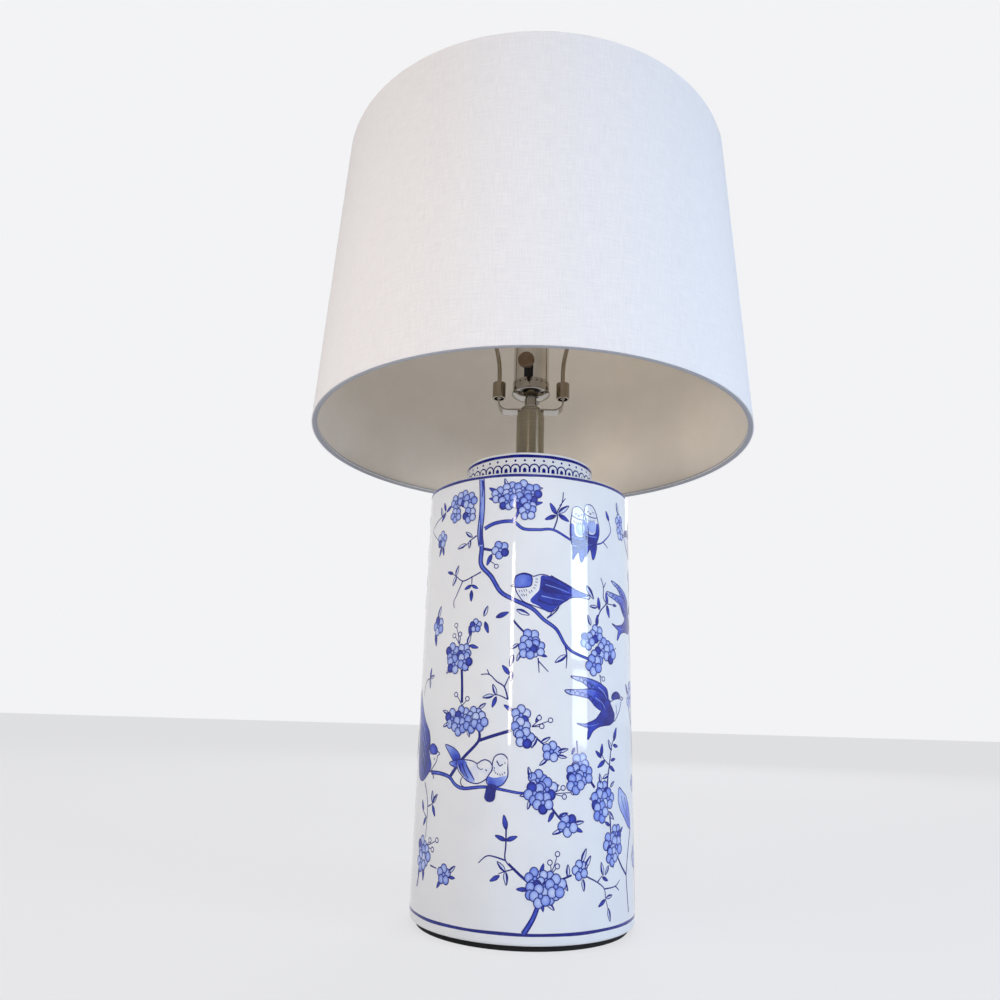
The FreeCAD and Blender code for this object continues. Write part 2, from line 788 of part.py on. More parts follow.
def main():
    save("porcelain_body", make_body())
    save("base_pad", make_pad())
    save("cord_grommet", make_grommet())
    save("lamp_pipe", make_pipe())
    save("floor_gasket", disc(gasket_radius, gasket_thickness, gasket_level, pipe_radius))
    save("clamp_washer", disc(clamp_washer_radius, clamp_washer_thickness, washer_level, pipe_radius))
    save("clamp_nut", make_hex_nut())
    save("neck_seat_ring", make_seat_ring())
    save("neck_tube", disc(tube_radius, tube_length, tube_bottom, tube_bore_radius))
    save("neck_cap_ring", make_cap_ring())
    save("harp_saddle", make_saddle())
    save("saddle_nut", make_saddle_nut())
    save("lock_washer", disc(lock_washer_radius, lock_washer_thickness, lock_washer_level, pipe_radius))
    socket_pieces = {
        "socket_cap": make_socket_cap(),
        "hub_screw": make_hub_screw(),
        "socket_shell": make_shell(),
        "socket_liner": make_liner(),
        "switch_block": make_block(),
        "terminal_screws": make_terminals(),
        "screw_sleeve": make_screw_sleeve(),
        "centre_contact": disc(contact_radius, contact_thickness, block_top),
        "switch_shaft": make_shaft(),
        "turn_knob": make_knob(),
    }
    for name, piece in socket_pieces.items():
        save(name, facing(piece, socket_turn))
    save("harp_wire", make_harp())
    save("harp_stud", make_stud())
    save("left_ferrule", make_ferrule(-1))
    save("right_ferrule", make_ferrule(1))
    save("bulb_screw_cap", make_bulb_cap())
    save("bulb_insulator", make_bulb_insulator())
    save("bulb_tip", make_bulb_tip())
    save("bulb_housing", make_bulb_housing())
    save("bulb_board", make_bulb_board())
    save("bulb_globe", make_bulb_globe())
    save("shade_fabric", turned(wall_face(0, fabric_thickness)))
    save("shade_liner", turned(wall_face(fabric_thickness, liner_thickness)))
    save("shade_bottom_ring", make_ring(bottom_ring_centre))
    save("shade_top_ring", make_ring(top_ring_centre))
    save("shade_bottom_hem", make_hem(bottom_ring_centre, shade_bottom, shade_bottom + trim_height))
    save("shade_top_hem", make_hem(top_ring_centre, shade_top, shade_top - trim_height))
    save("spider_arms", make_spider_arms())
    save("spider_washer", make_spider_washer())
    save("finial", make_finial())


main()
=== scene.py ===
import bmesh
import bpy
import json
import math
import random
from mathutils import Matrix, Vector
from mathutils.geometry import tessellate_polygon


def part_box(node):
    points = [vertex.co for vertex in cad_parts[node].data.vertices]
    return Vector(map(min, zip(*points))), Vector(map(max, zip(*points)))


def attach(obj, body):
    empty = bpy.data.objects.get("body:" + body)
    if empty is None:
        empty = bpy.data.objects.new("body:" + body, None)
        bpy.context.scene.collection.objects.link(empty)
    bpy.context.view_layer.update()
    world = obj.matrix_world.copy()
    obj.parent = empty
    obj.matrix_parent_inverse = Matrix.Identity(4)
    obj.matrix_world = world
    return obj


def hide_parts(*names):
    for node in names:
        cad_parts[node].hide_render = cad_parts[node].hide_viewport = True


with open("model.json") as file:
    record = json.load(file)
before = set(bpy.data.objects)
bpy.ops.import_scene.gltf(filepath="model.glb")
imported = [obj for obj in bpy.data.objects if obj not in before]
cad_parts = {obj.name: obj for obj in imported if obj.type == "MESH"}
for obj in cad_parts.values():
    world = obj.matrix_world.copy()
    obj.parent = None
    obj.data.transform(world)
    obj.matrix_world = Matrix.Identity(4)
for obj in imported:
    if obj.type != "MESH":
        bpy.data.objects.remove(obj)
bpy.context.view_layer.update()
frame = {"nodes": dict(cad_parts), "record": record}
nodes = frame["nodes"]
mm = 0.001                          # the frame is in metres, sizes here are in mm
mergeDistance = 0.001 * mm
smoothAngle = math.radians(35)      # edges sharper than this stay crisp
roundSegments = 6                   # facets in a rounded corner
print("frame loaded")


def linear(hexColour):
    # sRGB hex to the linear colour that a shader wants
    parts = [int(hexColour[i:i + 2], 16) / 255 for i in (1, 3, 5)]
    parts = [c / 12.92 if c <= 0.04045 else ((c + 0.055) / 1.055) ** 2.4 for c in parts]
    return (*parts, 1.0)


def addNode(tree, kind, settings=None, links=None):
    node = tree.nodes.new(kind)
    for key, value in (settings or {}).items():
        if isinstance(key, int) or key in node.inputs:
            node.inputs[key].default_value = value
        else:
            setattr(node, key, value)
    for key, socket in (links or {}).items():
        tree.links.new(socket, node.inputs[key])
    return node


def newMaterial(name, colour, roughness, **shaderSettings):
    material = bpy.data.materials.new(name)
    material.use_nodes = True
    tree = material.node_tree
    shader = tree.nodes["Principled BSDF"]
    shader.inputs["Base Color"].default_value = linear(colour)
    shader.inputs["Roughness"].default_value = roughness
    for key, value in shaderSettings.items():
        shader.inputs[key.replace("_", " ")].default_value = value
    return material, tree, shader


def pickOnly(piece):
    bpy.ops.object.select_all(action="DESELECT")
    piece.select_set(True)
    bpy.context.view_layer.objects.active = piece


def spinProfile(name, corners, steps, closed=False):
    # corners are (radius, height, round) in mm; a vertex is extruded along them, its corners are
    # bevelled round, and the chain is spun once about the lamp's axis
    bpy.ops.object.select_all(action="DESELECT")
    bpy.ops.mesh.primitive_plane_add(size=mm, location=(0, 0, 0))
    piece = bpy.context.object
    piece.name = name
    bpy.ops.object.mode_set(mode="EDIT")
    bpy.ops.mesh.select_all(action="SELECT")
    bpy.ops.mesh.merge(type="CENTER")
    places = [Vector((radius * mm, 0, height * mm)) for radius, height, _ in corners]
    bpy.ops.transform.translate(value=places[0])
    route = places + places[:1] if closed else places
    for here, there in zip(route, route[1:]):
        bpy.ops.mesh.extrude_region_move(TRANSFORM_OT_translate={"value": there - here})
    bpy.ops.mesh.select_all(action="SELECT")
    bpy.ops.mesh.remove_doubles(threshold=mergeDistance)
    for place, corner in zip(places, corners):
        if corner[2] > 0:
            mesh = bmesh.from_edit_mesh(piece.data)
            for vertex in mesh.verts:
                vertex.select = (vertex.co - place).length < mergeDistance
            mesh.select_flush_mode()
            bmesh.update_edit_mesh(piece.data)
            bpy.ops.mesh.bevel(offset=corner[2] * mm, segments=roundSegments, profile=0.5,
                               affect="VERTICES")
    bpy.ops.mesh.select_all(action="SELECT")
    bpy.ops.mesh.spin(steps=steps, angle=2 * math.pi, center=(0, 0, 0), axis=(0, 0, 1))
    bpy.ops.mesh.select_all(action="SELECT")
    bpy.ops.mesh.remove_doubles(threshold=mergeDistance)
    bpy.ops.mesh.normals_make_consistent(inside=False)
    bpy.ops.object.mode_set(mode="OBJECT")
    bpy.ops.object.shade_smooth_by_angle(angle=smoothAngle)
    return piece


def around(angle, radius, height):
    # a place in metres from an angle off the front and a radius and height in mm
    return (math.sin(angle) * radius * mm, -math.cos(angle) * radius * mm, height * mm)


def dress(piece, material, body, slot, *stoodFor):
    piece.data.materials.clear()
    piece.data.materials.append(material)
    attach(piece, body)
    if stoodFor:
        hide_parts(*stoodFor)


def glazedPorcelain():
    # fired white porcelain under a clear glaze: a sharp wet gloss, a trace of blue, faint ripples
    rippleLength = 22.22 * mm
    material, tree, shader = newMaterial("glazed porcelain", "#E2E5ED", 0.05, IOR=1.5)
    place = addNode(tree, "ShaderNodeTexCoord")
    ripple = addNode(tree, "ShaderNodeTexNoise", {"Scale": 1 / rippleLength, "Detail": 2.0},
                     {"Vector": place.outputs["Object"]})
    tint = addNode(tree, "ShaderNodeValToRGB", {}, {"Fac": ripple.outputs["Fac"]})
    tint.color_ramp.elements[0].color = linear("#DDE1EA")
    tint.color_ramp.elements[1].color = linear("#E7EAEF")
    bump = addNode(tree, "ShaderNodeBump", {"Strength": 0.12, "Distance": 0.8 * mm},
                   {"Height": ripple.outputs["Fac"]})
    tree.links.new(tint.outputs["Color"], shader.inputs["Base Color"])
    tree.links.new(bump.outputs["Normal"], shader.inputs["Normal"])
    return material


def cobaltPainting():
    # cobalt painted under the glaze: pale washes, near-black lines, uneven where the brush pooled
    poolSize = 7.692 * mm
    material, tree, shader = newMaterial("underglaze cobalt", "#2338A8", 0.05, IOR=1.5)
    place = addNode(tree, "ShaderNodeTexCoord")
    tone = addNode(tree, "ShaderNodeAttribute", {"attribute_name": "tone"})
    pooling = addNode(tree, "ShaderNodeTexNoise", {"Scale": 1 / poolSize, "Detail": 3.0},
                      {"Vector": place.outputs["Object"]})
    sway = addNode(tree, "ShaderNodeMath", {"operation": "MULTIPLY_ADD", 1: 0.36, 2: -0.2},
                   {0: pooling.outputs["Fac"]})
    depth = addNode(tree, "ShaderNodeMath", {"operation": "ADD"},
                    {0: tone.outputs["Fac"], 1: sway.outputs["Value"]})
    ramp = addNode(tree, "ShaderNodeValToRGB", {}, {"Fac": depth.outputs["Value"]})
    stops = [(0.0, "#E2E5ED"), (0.22, "#AFC0F0"), (0.48, "#6D87E2"), (0.74, "#2A43C2"),
             (0.97, "#0D167A")]
    for position, _ in stops[1:-1]:
        ramp.color_ramp.elements.new(position)
    for element, (position, colour) in zip(ramp.color_ramp.elements, stops):
        element.position = position
        element.color = linear(colour)
    tree.links.new(ramp.outputs["Color"], shader.inputs["Base Color"])
    return material


def linenWeave():
    # bleached linen laminated on card: slubbed threads both ways, a soft dull surface
    # real threads are about 0.45 mm apart, drawn coarser so that they show from the photo's distance
    threadSpacing = 1.1 * mm
    slubLength = 16.667 * mm
    slubWidth = 1.111 * mm
    waveTurn = 20                       # radians that a wave texture runs in one metre at scale 1
    material, tree, shader = newMaterial("bleached linen", "#EEEDF1", 0.9, Sheen_Weight=0.15)
    flat = addNode(tree, "ShaderNodeUVMap", {"uv_map": "unrolled"})
    slubs, threads = [], []
    for bands, slub in (("X", (slubWidth, slubLength)), ("Y", (slubLength, slubWidth))):
        stretch = addNode(tree, "ShaderNodeMapping", {"Scale": (1 / slub[0], 1 / slub[1], 1.0)},
                          {"Vector": flat.outputs["UV"]})
        slubs.append(addNode(tree, "ShaderNodeTexNoise", {"Scale": 1.0, "Detail": 2.0},
                             {"Vector": stretch.outputs["Vector"]}))
        threads.append(addNode(tree, "ShaderNodeTexWave",
                               {"bands_direction": bands, "Distortion": 0.6,
                                "Scale": 2 * math.pi / waveTurn / threadSpacing},
                               {"Vector": flat.outputs["UV"]}))
    weave, unevenness = (addNode(tree, "ShaderNodeMath", {"operation": "ADD"},
                                 {0: ways[0].outputs["Fac"], 1: ways[1].outputs["Fac"]})
                         for ways in (threads, slubs))
    height = addNode(tree, "ShaderNodeMath", {"operation": "MULTIPLY_ADD", 1: 0.35},
                     {0: weave.outputs["Value"], 2: unevenness.outputs["Value"]})
    level = addNode(tree, "ShaderNodeMapRange", {"From Min": 0.9, "From Max": 2.0},
                    {"Value": height.outputs["Value"]})
    tint = addNode(tree, "ShaderNodeValToRGB", {}, {"Fac": level.outputs["Result"]})
    tint.color_ramp.elements[0].color = linear("#E2E1E7")
    tint.color_ramp.elements[1].color = linear("#F3F2F4")
    bump = addNode(tree, "ShaderNodeBump", {"Strength": 0.35, "Distance": 0.3 * mm},
                   {"Height": height.outputs["Value"]})
    tree.links.new(tint.outputs["Color"], shader.inputs["Base Color"])
    tree.links.new(bump.outputs["Normal"], shader.inputs["Normal"])
    return material


def grained(name, colours, roughness, grain, stretch=(1.0, 1.0, 1.0), bumpDepth=0.0,
            **shaderSettings):
    # a finish whose colour and bump follow one stretched grain, as brushed metal or moulded plastic
    # has; the grain's width and the bump's depth are in mm
    material, tree, shader = newMaterial(name, colours[0], roughness, **shaderSettings)
    place = addNode(tree, "ShaderNodeTexCoord")
    drawn = addNode(tree, "ShaderNodeMapping", {"Scale": stretch},
                    {"Vector": place.outputs["Object"]})
    speckle = addNode(tree, "ShaderNodeTexNoise", {"Scale": 1 / (grain * mm), "Detail": 4.0},
                      {"Vector": drawn.outputs["Vector"]})
    tint = addNode(tree, "ShaderNodeValToRGB", {}, {"Fac": speckle.outputs["Fac"]})
    tint.color_ramp.elements[0].position = 0.3
    tint.color_ramp.elements[1].position = 0.7
    tint.color_ramp.elements[0].color = linear(colours[0])
    tint.color_ramp.elements[1].color = linear(colours[1])
    tree.links.new(tint.outputs["Color"], shader.inputs["Base Color"])
    if bumpDepth > 0:
        bump = addNode(tree, "ShaderNodeBump", {"Strength": 0.5, "Distance": bumpDepth * mm},
                       {"Height": speckle.outputs["Fac"]})
        tree.links.new(bump.outputs["Normal"], shader.inputs["Normal"])
    return material


# the record's slots, each with its real material and how it was made
porcelain = glazedPorcelain()
cobalt = cobaltPainting()
linen = linenWeave()
# twilled cotton binding, quite dull, coloured greyer than the linen as painted shade for the shade
# under the rims
hemTape = grained("binding tape greyed as painted shade", ("#A5A7AF", "#B6B8BF"), 0.9, 1.4286, bumpDepth=0.05)
finishes = {
    # lathe-brushed round the axis, so the grain is thin in height
    "satin_nickel": grained("brushed satin nickel", ("#9A917C", "#A99F8A"), 0.42, 33.333,
                            (1.0, 1.0, 60.0), 0.001, Metallic=1.0, Anisotropic=1.0,
                            Anisotropic_Rotation=0.25),
    # drawn wire and small turned sleeves, tumbled to a soft shine
    "harp_nickel": grained("tumbled nickel wire", ("#988D7C", "#A69B89"), 0.2, 11.11,
                           bumpDepth=0.004, Metallic=1.0),
    # a turned knob with a browner, duller plating
    "knob_nickel": grained("turned antique nickel", ("#776553", "#847160"), 0.36, 8.333,
                           bumpDepth=0.006, Metallic=1.0),
    # spun shell, buffed bright, with only a breath of haze
    "bright_nickel": grained("buffed bright nickel", ("#CBC7C0", "#D5D2CC"), 0.07, 16.67,
                             Metallic=1.0),
    # the same plate over pressed strip and bowl: a little smoked, so its curves read dark and bright
    "smoked": grained("smoked bright nickel", ("#A7A29A", "#B2ADA4"), 0.1, 14.29, Metallic=1.0),
    # painted shade: the same plate, darker, laid in the pressed pits and the crease under the band,
    # where shade falls
    "painted_pit_and_crease_shade": grained("nickel darkened as painted shade", ("#35322E", "#45413B"), 0.5, 5.0, Metallic=1.0),
    # zinc plate: pale, cloudy and slightly rough
    "plated_steel": grained("zinc-plated steel", ("#A8A9A6", "#BDBDB8"), 0.34, 7.143,
                            bumpDepth=0.006, Metallic=1.0),
    # stamped and left bare: yellow, clean and fairly sharp
    "brass": grained("pressed brass", ("#BE9A55", "#CBA963"), 0.24, 8.333,
                     bumpDepth=0.004, Metallic=1.0),
    # rolled thin: pale and evenly bright
    "bulb_metal": grained("rolled aluminium", ("#C6C7C8", "#D1D2D3"), 0.25, 8.333,
                          bumpDepth=0.004, Metallic=1.0),
    # pressed wool felt: no shine at all, loose fibres
    "dark_felt": grained("pressed felt", ("#0E0E10", "#1D1D20"), 1.0, 1.111, bumpDepth=0.3),
    # moulded: black with a dim sheen
    "black_rubber": grained("moulded rubber", ("#131314", "#1C1C1D"), 0.62, 2.5, bumpDepth=0.03),
    # vulcanised fibre card: dead black with a paper grain
    "black_fibre": grained("vulcanised fibre", ("#0C0C0C", "#171716"), 0.7, 2.0, bumpDepth=0.03),
    # compression moulded: brown-black, half glossy
    "switch_plastic": grained("moulded phenolic", ("#17130F", "#221C17"), 0.42, 4.0,
                              bumpDepth=0.01),
    # fused black glass round the tip: glossy and deep
    "bulb_black_glass": grained("black vitrite", ("#08080A", "#101013"), 0.12, 6.667),
    # moulded: clean white with a soft gloss
    "bulb_white_plastic": grained("moulded white polycarbonate", ("#E4E4E1", "#EBEBE8"), 0.32, 4.0,
                                  bumpDepth=0.004),
    # opal diffuser: milky, with light going a little way in
    "bulb_opal": grained("frosted opal polycarbonate", ("#EFEFEA", "#F4F4F0"), 0.38, 5.0,
                         Subsurface_Weight=0.3, Subsurface_Scale=0.004),
    # satin styrene sheet behind the linen: warm, smooth, faintly mottled
    "shade_lining": grained("styrene lining", ("#EAE2D5", "#EFE7DB"), 0.55, 28.57,
                            bumpDepth=0.01),
    # baked powder: off-white with a fine orange peel
    "frame_wire": grained("white powder coat", ("#E0DFDC", "#E9E8E5"), 0.45, 0.8333,
                          bumpDepth=0.02),
    "porcelain": porcelain,
    "linen": linen,
}
for part in frame["record"]["subparts"]:
    node = nodes[part["node"]]
    node.data.materials.clear()
    node.data.materials.append(finishes[part["material_slot"]])
nodes["harp_saddle"].data.materials[0] = finishes["smoked"]
print("materials made")


# porcelain canister, spun smooth so that highlights run straight down it
bodyLow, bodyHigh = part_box("porcelain_body")
canister = {
    "radius": bodyHigh.x / mm,
    "foot": bodyLow.z / mm,
    "top": bodyHigh.z / mm,
    "shoulder": 346.6,
    "collarRadius": 57.4,
    "wall": 5.5,
    "floorBottom": 38.1,
    "floorTop": 44.1,
    "pipeHole": 5.2,
    "holeRound": 0.4,
    "footRound": 2.4,
    "footInnerRound": 1.2,
    "shoulderRound": 3.4,
    "collarFootRound": 1.1,
    "rimRound": 1.4,
    "innerRound": 2.0,
    "cavityRound": 3.0,
    "steps": 288,
}


def makeCanister():
    c = canister
    inner = c["radius"] - c["wall"]
    mouth = c["collarRadius"] - c["wall"]
    ceiling = c["shoulder"] - c["wall"]
    corners = [
        (c["pipeHole"], c["floorBottom"], c["holeRound"]),
        (inner, c["floorBottom"], c["innerRound"]),
        (inner, c["foot"], c["footInnerRound"]),
        (c["radius"], c["foot"], c["footRound"]),
        (c["radius"], c["shoulder"], c["shoulderRound"]),
        (c["collarRadius"], c["shoulder"], c["collarFootRound"]),
        (c["collarRadius"], c["top"], c["rimRound"]),
        (mouth, c["top"], c["rimRound"]),
        (mouth, ceiling, c["innerRound"]),
        (inner, ceiling, c["cavityRound"]),
        (inner, c["floorTop"], c["cavityRound"]),
        (c["pipeHole"], c["floorTop"], c["holeRound"]),
    ]
    piece = spinProfile("canister", corners, c["steps"], closed=True)
    dress(piece, porcelain, "lamp_base", "porcelain", "porcelain_body")


makeCanister()
print("canister spun")


# socket cap: spun bowl, ridge and band, with a row of pressed dimples and the slit under the slot
socketCap = {
    "bore": 4.85,
    "hubRadius": 5.9,
    "hubBottom": 440.3,
    "bowlBottom": 447.7,
    "bowl": [(9.6, 448.1), (13.1, 449.2), (16.2, 450.9)],     # radius and height, outwards
    "bowlInside": (13.0, 450.3),
    "ridgeRadius": 18.15,
    "ridgeBottom": 452.4,
    "bandBottom": 453.7,
    "bandRadius": 17.4,
    "bandTop": 464.1,
    "creaseRise": 0.5,
    "sheet": 0.6,
    "edgeRound": 0.2,
    "bendRound": 0.3,
    "hubRound": 0.4,
    "ridgeRound": 0.5,
    "dimples": 20,
    "dimpleRadius": 1.0,
    "dimpleDepth": 0.5,
    "dimpleDrop": 2.9,
    "slitWidth": 1.3,
    "slitLength": 5.0,
    "slitDepth": 3.0,
    "slitRise": 0.5,         # cut this far past the rim
    "pitShadeDepth": 0.12,         # painted shade in a pit starts this far under the band's face
    "creaseShadeHeight": 0.6,       # and the painted shade in the crease below the band reaches up to this height
    "pitShadeInset": (1.0, 0.5),   # the shaded pits lie this far inside the band's foot and rim
    "slack": 0.05,           # margin when faces are picked by their place
    "turn": -9.0,            # degrees off the front
    "steps": 120,
}


def makeSocketCap():
    c = socketCap
    inner = c["bandRadius"] - c["sheet"]
    corners = [
        (c["bore"], c["hubBottom"], c["edgeRound"]),
        (c["hubRadius"], c["hubBottom"], c["bendRound"]),
        (c["hubRadius"], c["bowlBottom"], c["hubRound"]),
        *((radius, height, 0) for radius, height in c["bowl"]),
        (c["ridgeRadius"], c["ridgeBottom"], c["ridgeRound"]),
        (c["ridgeRadius"], c["bandBottom"], c["ridgeRound"]),
        (c["bandRadius"], c["bandBottom"] + c["creaseRise"], c["bendRound"]),
        (c["bandRadius"], c["bandTop"], c["edgeRound"]),
        (inner, c["bandTop"], c["edgeRound"]),
        (inner, c["bandBottom"] - c["sheet"], c["bendRound"]),
        (*c["bowlInside"], 0),
        (c["hubRadius"], c["bowlBottom"] + c["sheet"], c["bendRound"]),
        (c["bore"], c["bowlBottom"] + c["sheet"], 0),
    ]
    piece = spinProfile("pressed_socket_cap", corners, c["steps"], closed=True)
    turn = math.radians(c["turn"])
    reach = c["bandRadius"] - c["dimpleDepth"] + c["dimpleRadius"]
    cutters = []
    for index in range(c["dimples"]):
        angle = turn + 2 * math.pi * (index + 0.5) / c["dimples"]
        bpy.ops.mesh.primitive_ico_sphere_add(
            subdivisions=2, radius=c["dimpleRadius"] * mm,
            location=around(angle, reach, c["bandTop"] - c["dimpleDrop"]))
        cutters.append(bpy.context.object)
    place = around(turn, c["bandRadius"], c["bandTop"] - c["slitLength"] / 2 + c["slitRise"])
    bpy.ops.mesh.primitive_cube_add(size=mm, location=place, rotation=(0, 0, turn))
    bpy.context.object.scale = (c["slitWidth"], c["slitDepth"], c["slitLength"] + 2 * c["slitRise"])
    cutters.append(bpy.context.object)
    for cutter in cutters:
        pickOnly(piece)
        press = piece.modifiers.new("press", "BOOLEAN")
        press.operation = "DIFFERENCE"
        press.object = cutter
        bpy.ops.object.modifier_apply(modifier=press.name)
        bpy.data.objects.remove(cutter)
    pickOnly(piece)
    bpy.ops.object.shade_smooth_by_angle(angle=smoothAngle)
    dress(piece, finishes["smoked"], "lamp_base", "bright_nickel", "socket_cap")
    # the pits and the crease below the band take the darker plate as painted shade
    piece.data.materials.append(finishes["painted_pit_and_crease_shade"])
    for polygon in piece.data.polygons:
        radius = math.hypot(polygon.center.x, polygon.center.y) / mm
        height = polygon.center.z / mm
        shadeInPit = (c["bandBottom"] + c["pitShadeInset"][0] < height < c["bandTop"] - c["pitShadeInset"][1]
                 and inner + c["slack"] < radius < c["bandRadius"] - c["pitShadeDepth"])
        shadeInCrease = (c["bandBottom"] - c["slack"] < height < c["bandBottom"] + c["creaseShadeHeight"]
                    and radius > c["bandRadius"] - c["slack"])
        if shadeInPit or shadeInCrease:
            polygon.material_index = 1


makeSocketCap()
print("socket cap pressed")


# the painting: birds and blossoms, laid out flat as (arc from the front, height) in mm
painting = {
    "baseLift": 0.05,        # the paint stands this far off the body
    "stepLift": 0.012,       # each later stroke lies this much higher
    "petalLift": 0.009,      # and each later petal this much
    "cell": 2.0,             # widest flat stretch before it must bend round the body
    "smoothStep": 1.7,       # length of one step along a curve
    "sliver": 1e-5,          # faces smaller than this, in square mm, are left out
    "line": 0.85,            # fine outline
    "lineTone": 1.08,        # tones run from 0, bare porcelain, to 1, the darkest cobalt
    "limbTone": 1.02,
    "thickLimb": 2.7,        # a limb wider than this has a paler streak down its middle
    "streakTone": 0.72,
    "leafFat": 0.36,         # a leaf's width by its length
    "leafLine": 0.65,
    "darkLeaves": 0.45,      # share of leaves painted all dark
    "petalReach": 0.56,      # by the blossom's size: a petal's place, its radius and the heart's
    "petalRadius": 0.42,
    "heartRadius": 0.2,
    "petalLine": 0.75,
    "petalCorners": 12,
    "berryRadius": 1.6,
    "topHoop": (343.4, 2.3),     # height and width of the painted lines round the body
    "footHoop": (11.6, 2.1),
    "hoopSteps": 72,
    "waver": 0.1,            # how far a painted line sways up and down
    "repeats": 2,            # the same sheet goes round twice
    "seed": 7,
}
dice = random.Random(painting["seed"])
paint = {"points": [], "faces": [], "lift": painting["baseLift"]}


def nextLift(step="stepLift"):
    paint["lift"] += painting[step]


def startMotif():
    paint["lift"] = painting["baseLift"]


def softened(points, closed=False):
    # a smooth curve through the points
    count = len(points)
    result = []
    for index in range(count if closed else count - 1):
        if closed:
            a, b, c, d = (points[(index + k) % count] for k in (-1, 0, 1, 2))
        else:
            a, b = points[max(index - 1, 0)], points[index]
            c, d = points[index + 1], points[min(index + 2, count - 1)]
        steps = max(2, math.ceil(math.dist(b, c) / painting["smoothStep"]))
        for step in range(steps):
            t = step / steps
            result.append(tuple(
                0.5 * (2 * b[k] + (c[k] - a[k]) * t + (2 * a[k] - 5 * b[k] + 4 * c[k] - d[k]) * t * t
                       + (3 * b[k] - a[k] - 3 * c[k] + d[k]) * t ** 3)
                for k in (0, 1)))
    if not closed:
        result.append(tuple(points[-1]))
    return result


def addFace(corners):
    # corners are (arc, height, tone), turned so that the face looks outwards
    area = sum(p[0] * q[1] - q[0] * p[1] for p, q in zip(corners, corners[1:] + corners[:1]))
    if abs(area) < painting["sliver"]:
        return
    if area < 0:
        corners = corners[::-1]
    first = len(paint["points"])
    paint["points"] += [(*corner, paint["lift"]) for corner in corners]
    paint["faces"].append(tuple(range(first, first + len(corners))))


def fill(outline, tone, farTone=None, focus=None):
    # a flat wash, paler or darker away from the focus
    nextLift()
    flat = bmesh.new()
    corners = [flat.verts.new((s, z, 0)) for s, z in outline]
    for triangle in tessellate_polygon([[Vector((s, z, 0)) for s, z in outline]]):
        flat.faces.new([corners[index] for index in triangle])
    left = min(s for s, z in outline)
    right = max(s for s, z in outline)
    cell = painting["cell"]
    for index in range(math.ceil(left / cell), math.floor(right / cell) + 1):
        everything = flat.verts[:] + flat.edges[:] + flat.faces[:]
        bmesh.ops.bisect_plane(flat, geom=everything, plane_co=(index * cell, 0, 0), plane_no=(1, 0, 0))
    reach = max(math.dist(focus, point) for point in outline) if focus else 1
    for face in flat.faces:
        shaded = []
        for vertex in face.verts:
            share = math.dist(focus, vertex.co[:2]) / reach if focus else 0
            mixed = tone + ((farTone if farTone is not None else tone) - tone) * share
            shaded.append((vertex.co.x, vertex.co.y, mixed))
        addFace(shaded)
    flat.free()


def wash(shape, tone, farTone=None, focus=None):
    # a fill inside a curve through the shape's points
    fill(softened(shape, closed=True), tone, farTone, focus)


def stroke(points, startWidth, endWidth, tone=None, soft=True, rise=True):
    # one pull of the brush, tapering from start to end; a wide one is laid in strips so that it bends
    if rise:
        nextLift()
    tone = painting["lineTone"] if tone is None else tone
    route = softened(points) if soft else [tuple(p) for p in points]
    strips = math.ceil(max(startWidth, endWidth) / painting["cell"])
    rows = []
    for index, here in enumerate(route):
        before = route[max(index - 1, 0)]
        after = route[min(index + 1, len(route) - 1)]
        length = math.dist(before, after) or 1
        across = (-(after[1] - before[1]) / length, (after[0] - before[0]) / length)
        share = index / (len(route) - 1)
        width = startWidth + (endWidth - startWidth) * share
        offsets = [width * (strip / strips - 0.5) for strip in range(strips + 1)]
        rows.append([(here[0] + across[0] * k, here[1] + across[1] * k, tone) for k in offsets])
    for near, far in zip(rows, rows[1:]):
        for strip in range(strips):
            addFace([near[strip], far[strip], far[strip + 1], near[strip + 1]])


def outlined(shape, width=None, soft=True):
    width = width or painting["line"]
    route = softened(shape, closed=True) if soft else shape
    stroke(route + route[:2], width, width, soft=False)


def circle(s, z, radius, corners):
    angles = [2 * math.pi * index / corners for index in range(corners)]
    return [(s + radius * math.cos(a), z + radius * math.sin(a)) for a in angles]


def branch(points, startWidth, endWidth):
    startMotif()
    stroke(points, startWidth, endWidth, painting["limbTone"])
    if startWidth > painting["thickLimb"]:
        stroke(points, startWidth * 0.42, endWidth * 0.36, painting["streakTone"])


def twig(points, width=1.05):
    startMotif()
    stroke(points, width, width * 0.6, painting["limbTone"])


def leaf(base, tip):
    # half dark and half bare, or all dark
    startMotif()
    along = (tip[0] - base[0], tip[1] - base[1])
    across = (-along[1] * painting["leafFat"] / 2, along[0] * painting["leafFat"] / 2)

    def at(share, side):
        return tuple(base[k] + along[k] * share + across[k] * side for k in (0, 1))

    edge = [base, at(0.3, 0.85), at(0.6, 0.8), tip, at(0.6, -0.8), at(0.3, -0.85)]
    if dice.random() < painting["darkLeaves"]:
        wash(edge, 0.98, 0.74, base)
    else:
        wash(edge, 0.12)
        wash([base, at(0.3, 0.8), at(0.6, 0.75), tip, at(0.5, 0.1)], 0.95)
    outlined(edge, painting["leafLine"])


def leaves(*rows):
    # each row is a leaf's foot and its tip
    for s, z, tipS, tipZ in rows:
        leaf((s, z), (tipS, tipZ))


def petal(s, z, radius, tone):
    # a round petal: pale in the middle, deeper towards its dark outline
    nextLift("petalLift")
    corners = painting["petalCorners"]
    turns = [2 * math.pi * k / corners for k in range(corners)]
    rim = [(s + radius * math.cos(a), z + radius * 1.06 * math.sin(a), tone + 0.12) for a in turns]
    middle = [((s + x) / 2, (z + y) / 2, tone - 0.04) for x, y, _ in rim]
    for k in range(corners):
        after = (k + 1) % corners
        addFace([(s, z, tone - 0.12), middle[k], middle[after]])
        addFace([middle[k], rim[k], rim[after], middle[after]])
    paint["lift"] += painting["petalLift"] / 2
    route = [point[:2] for point in rim]
    stroke(route + route[:2], painting["petalLine"], painting["petalLine"], soft=False, rise=False)
    paint["lift"] -= painting["petalLift"] / 2


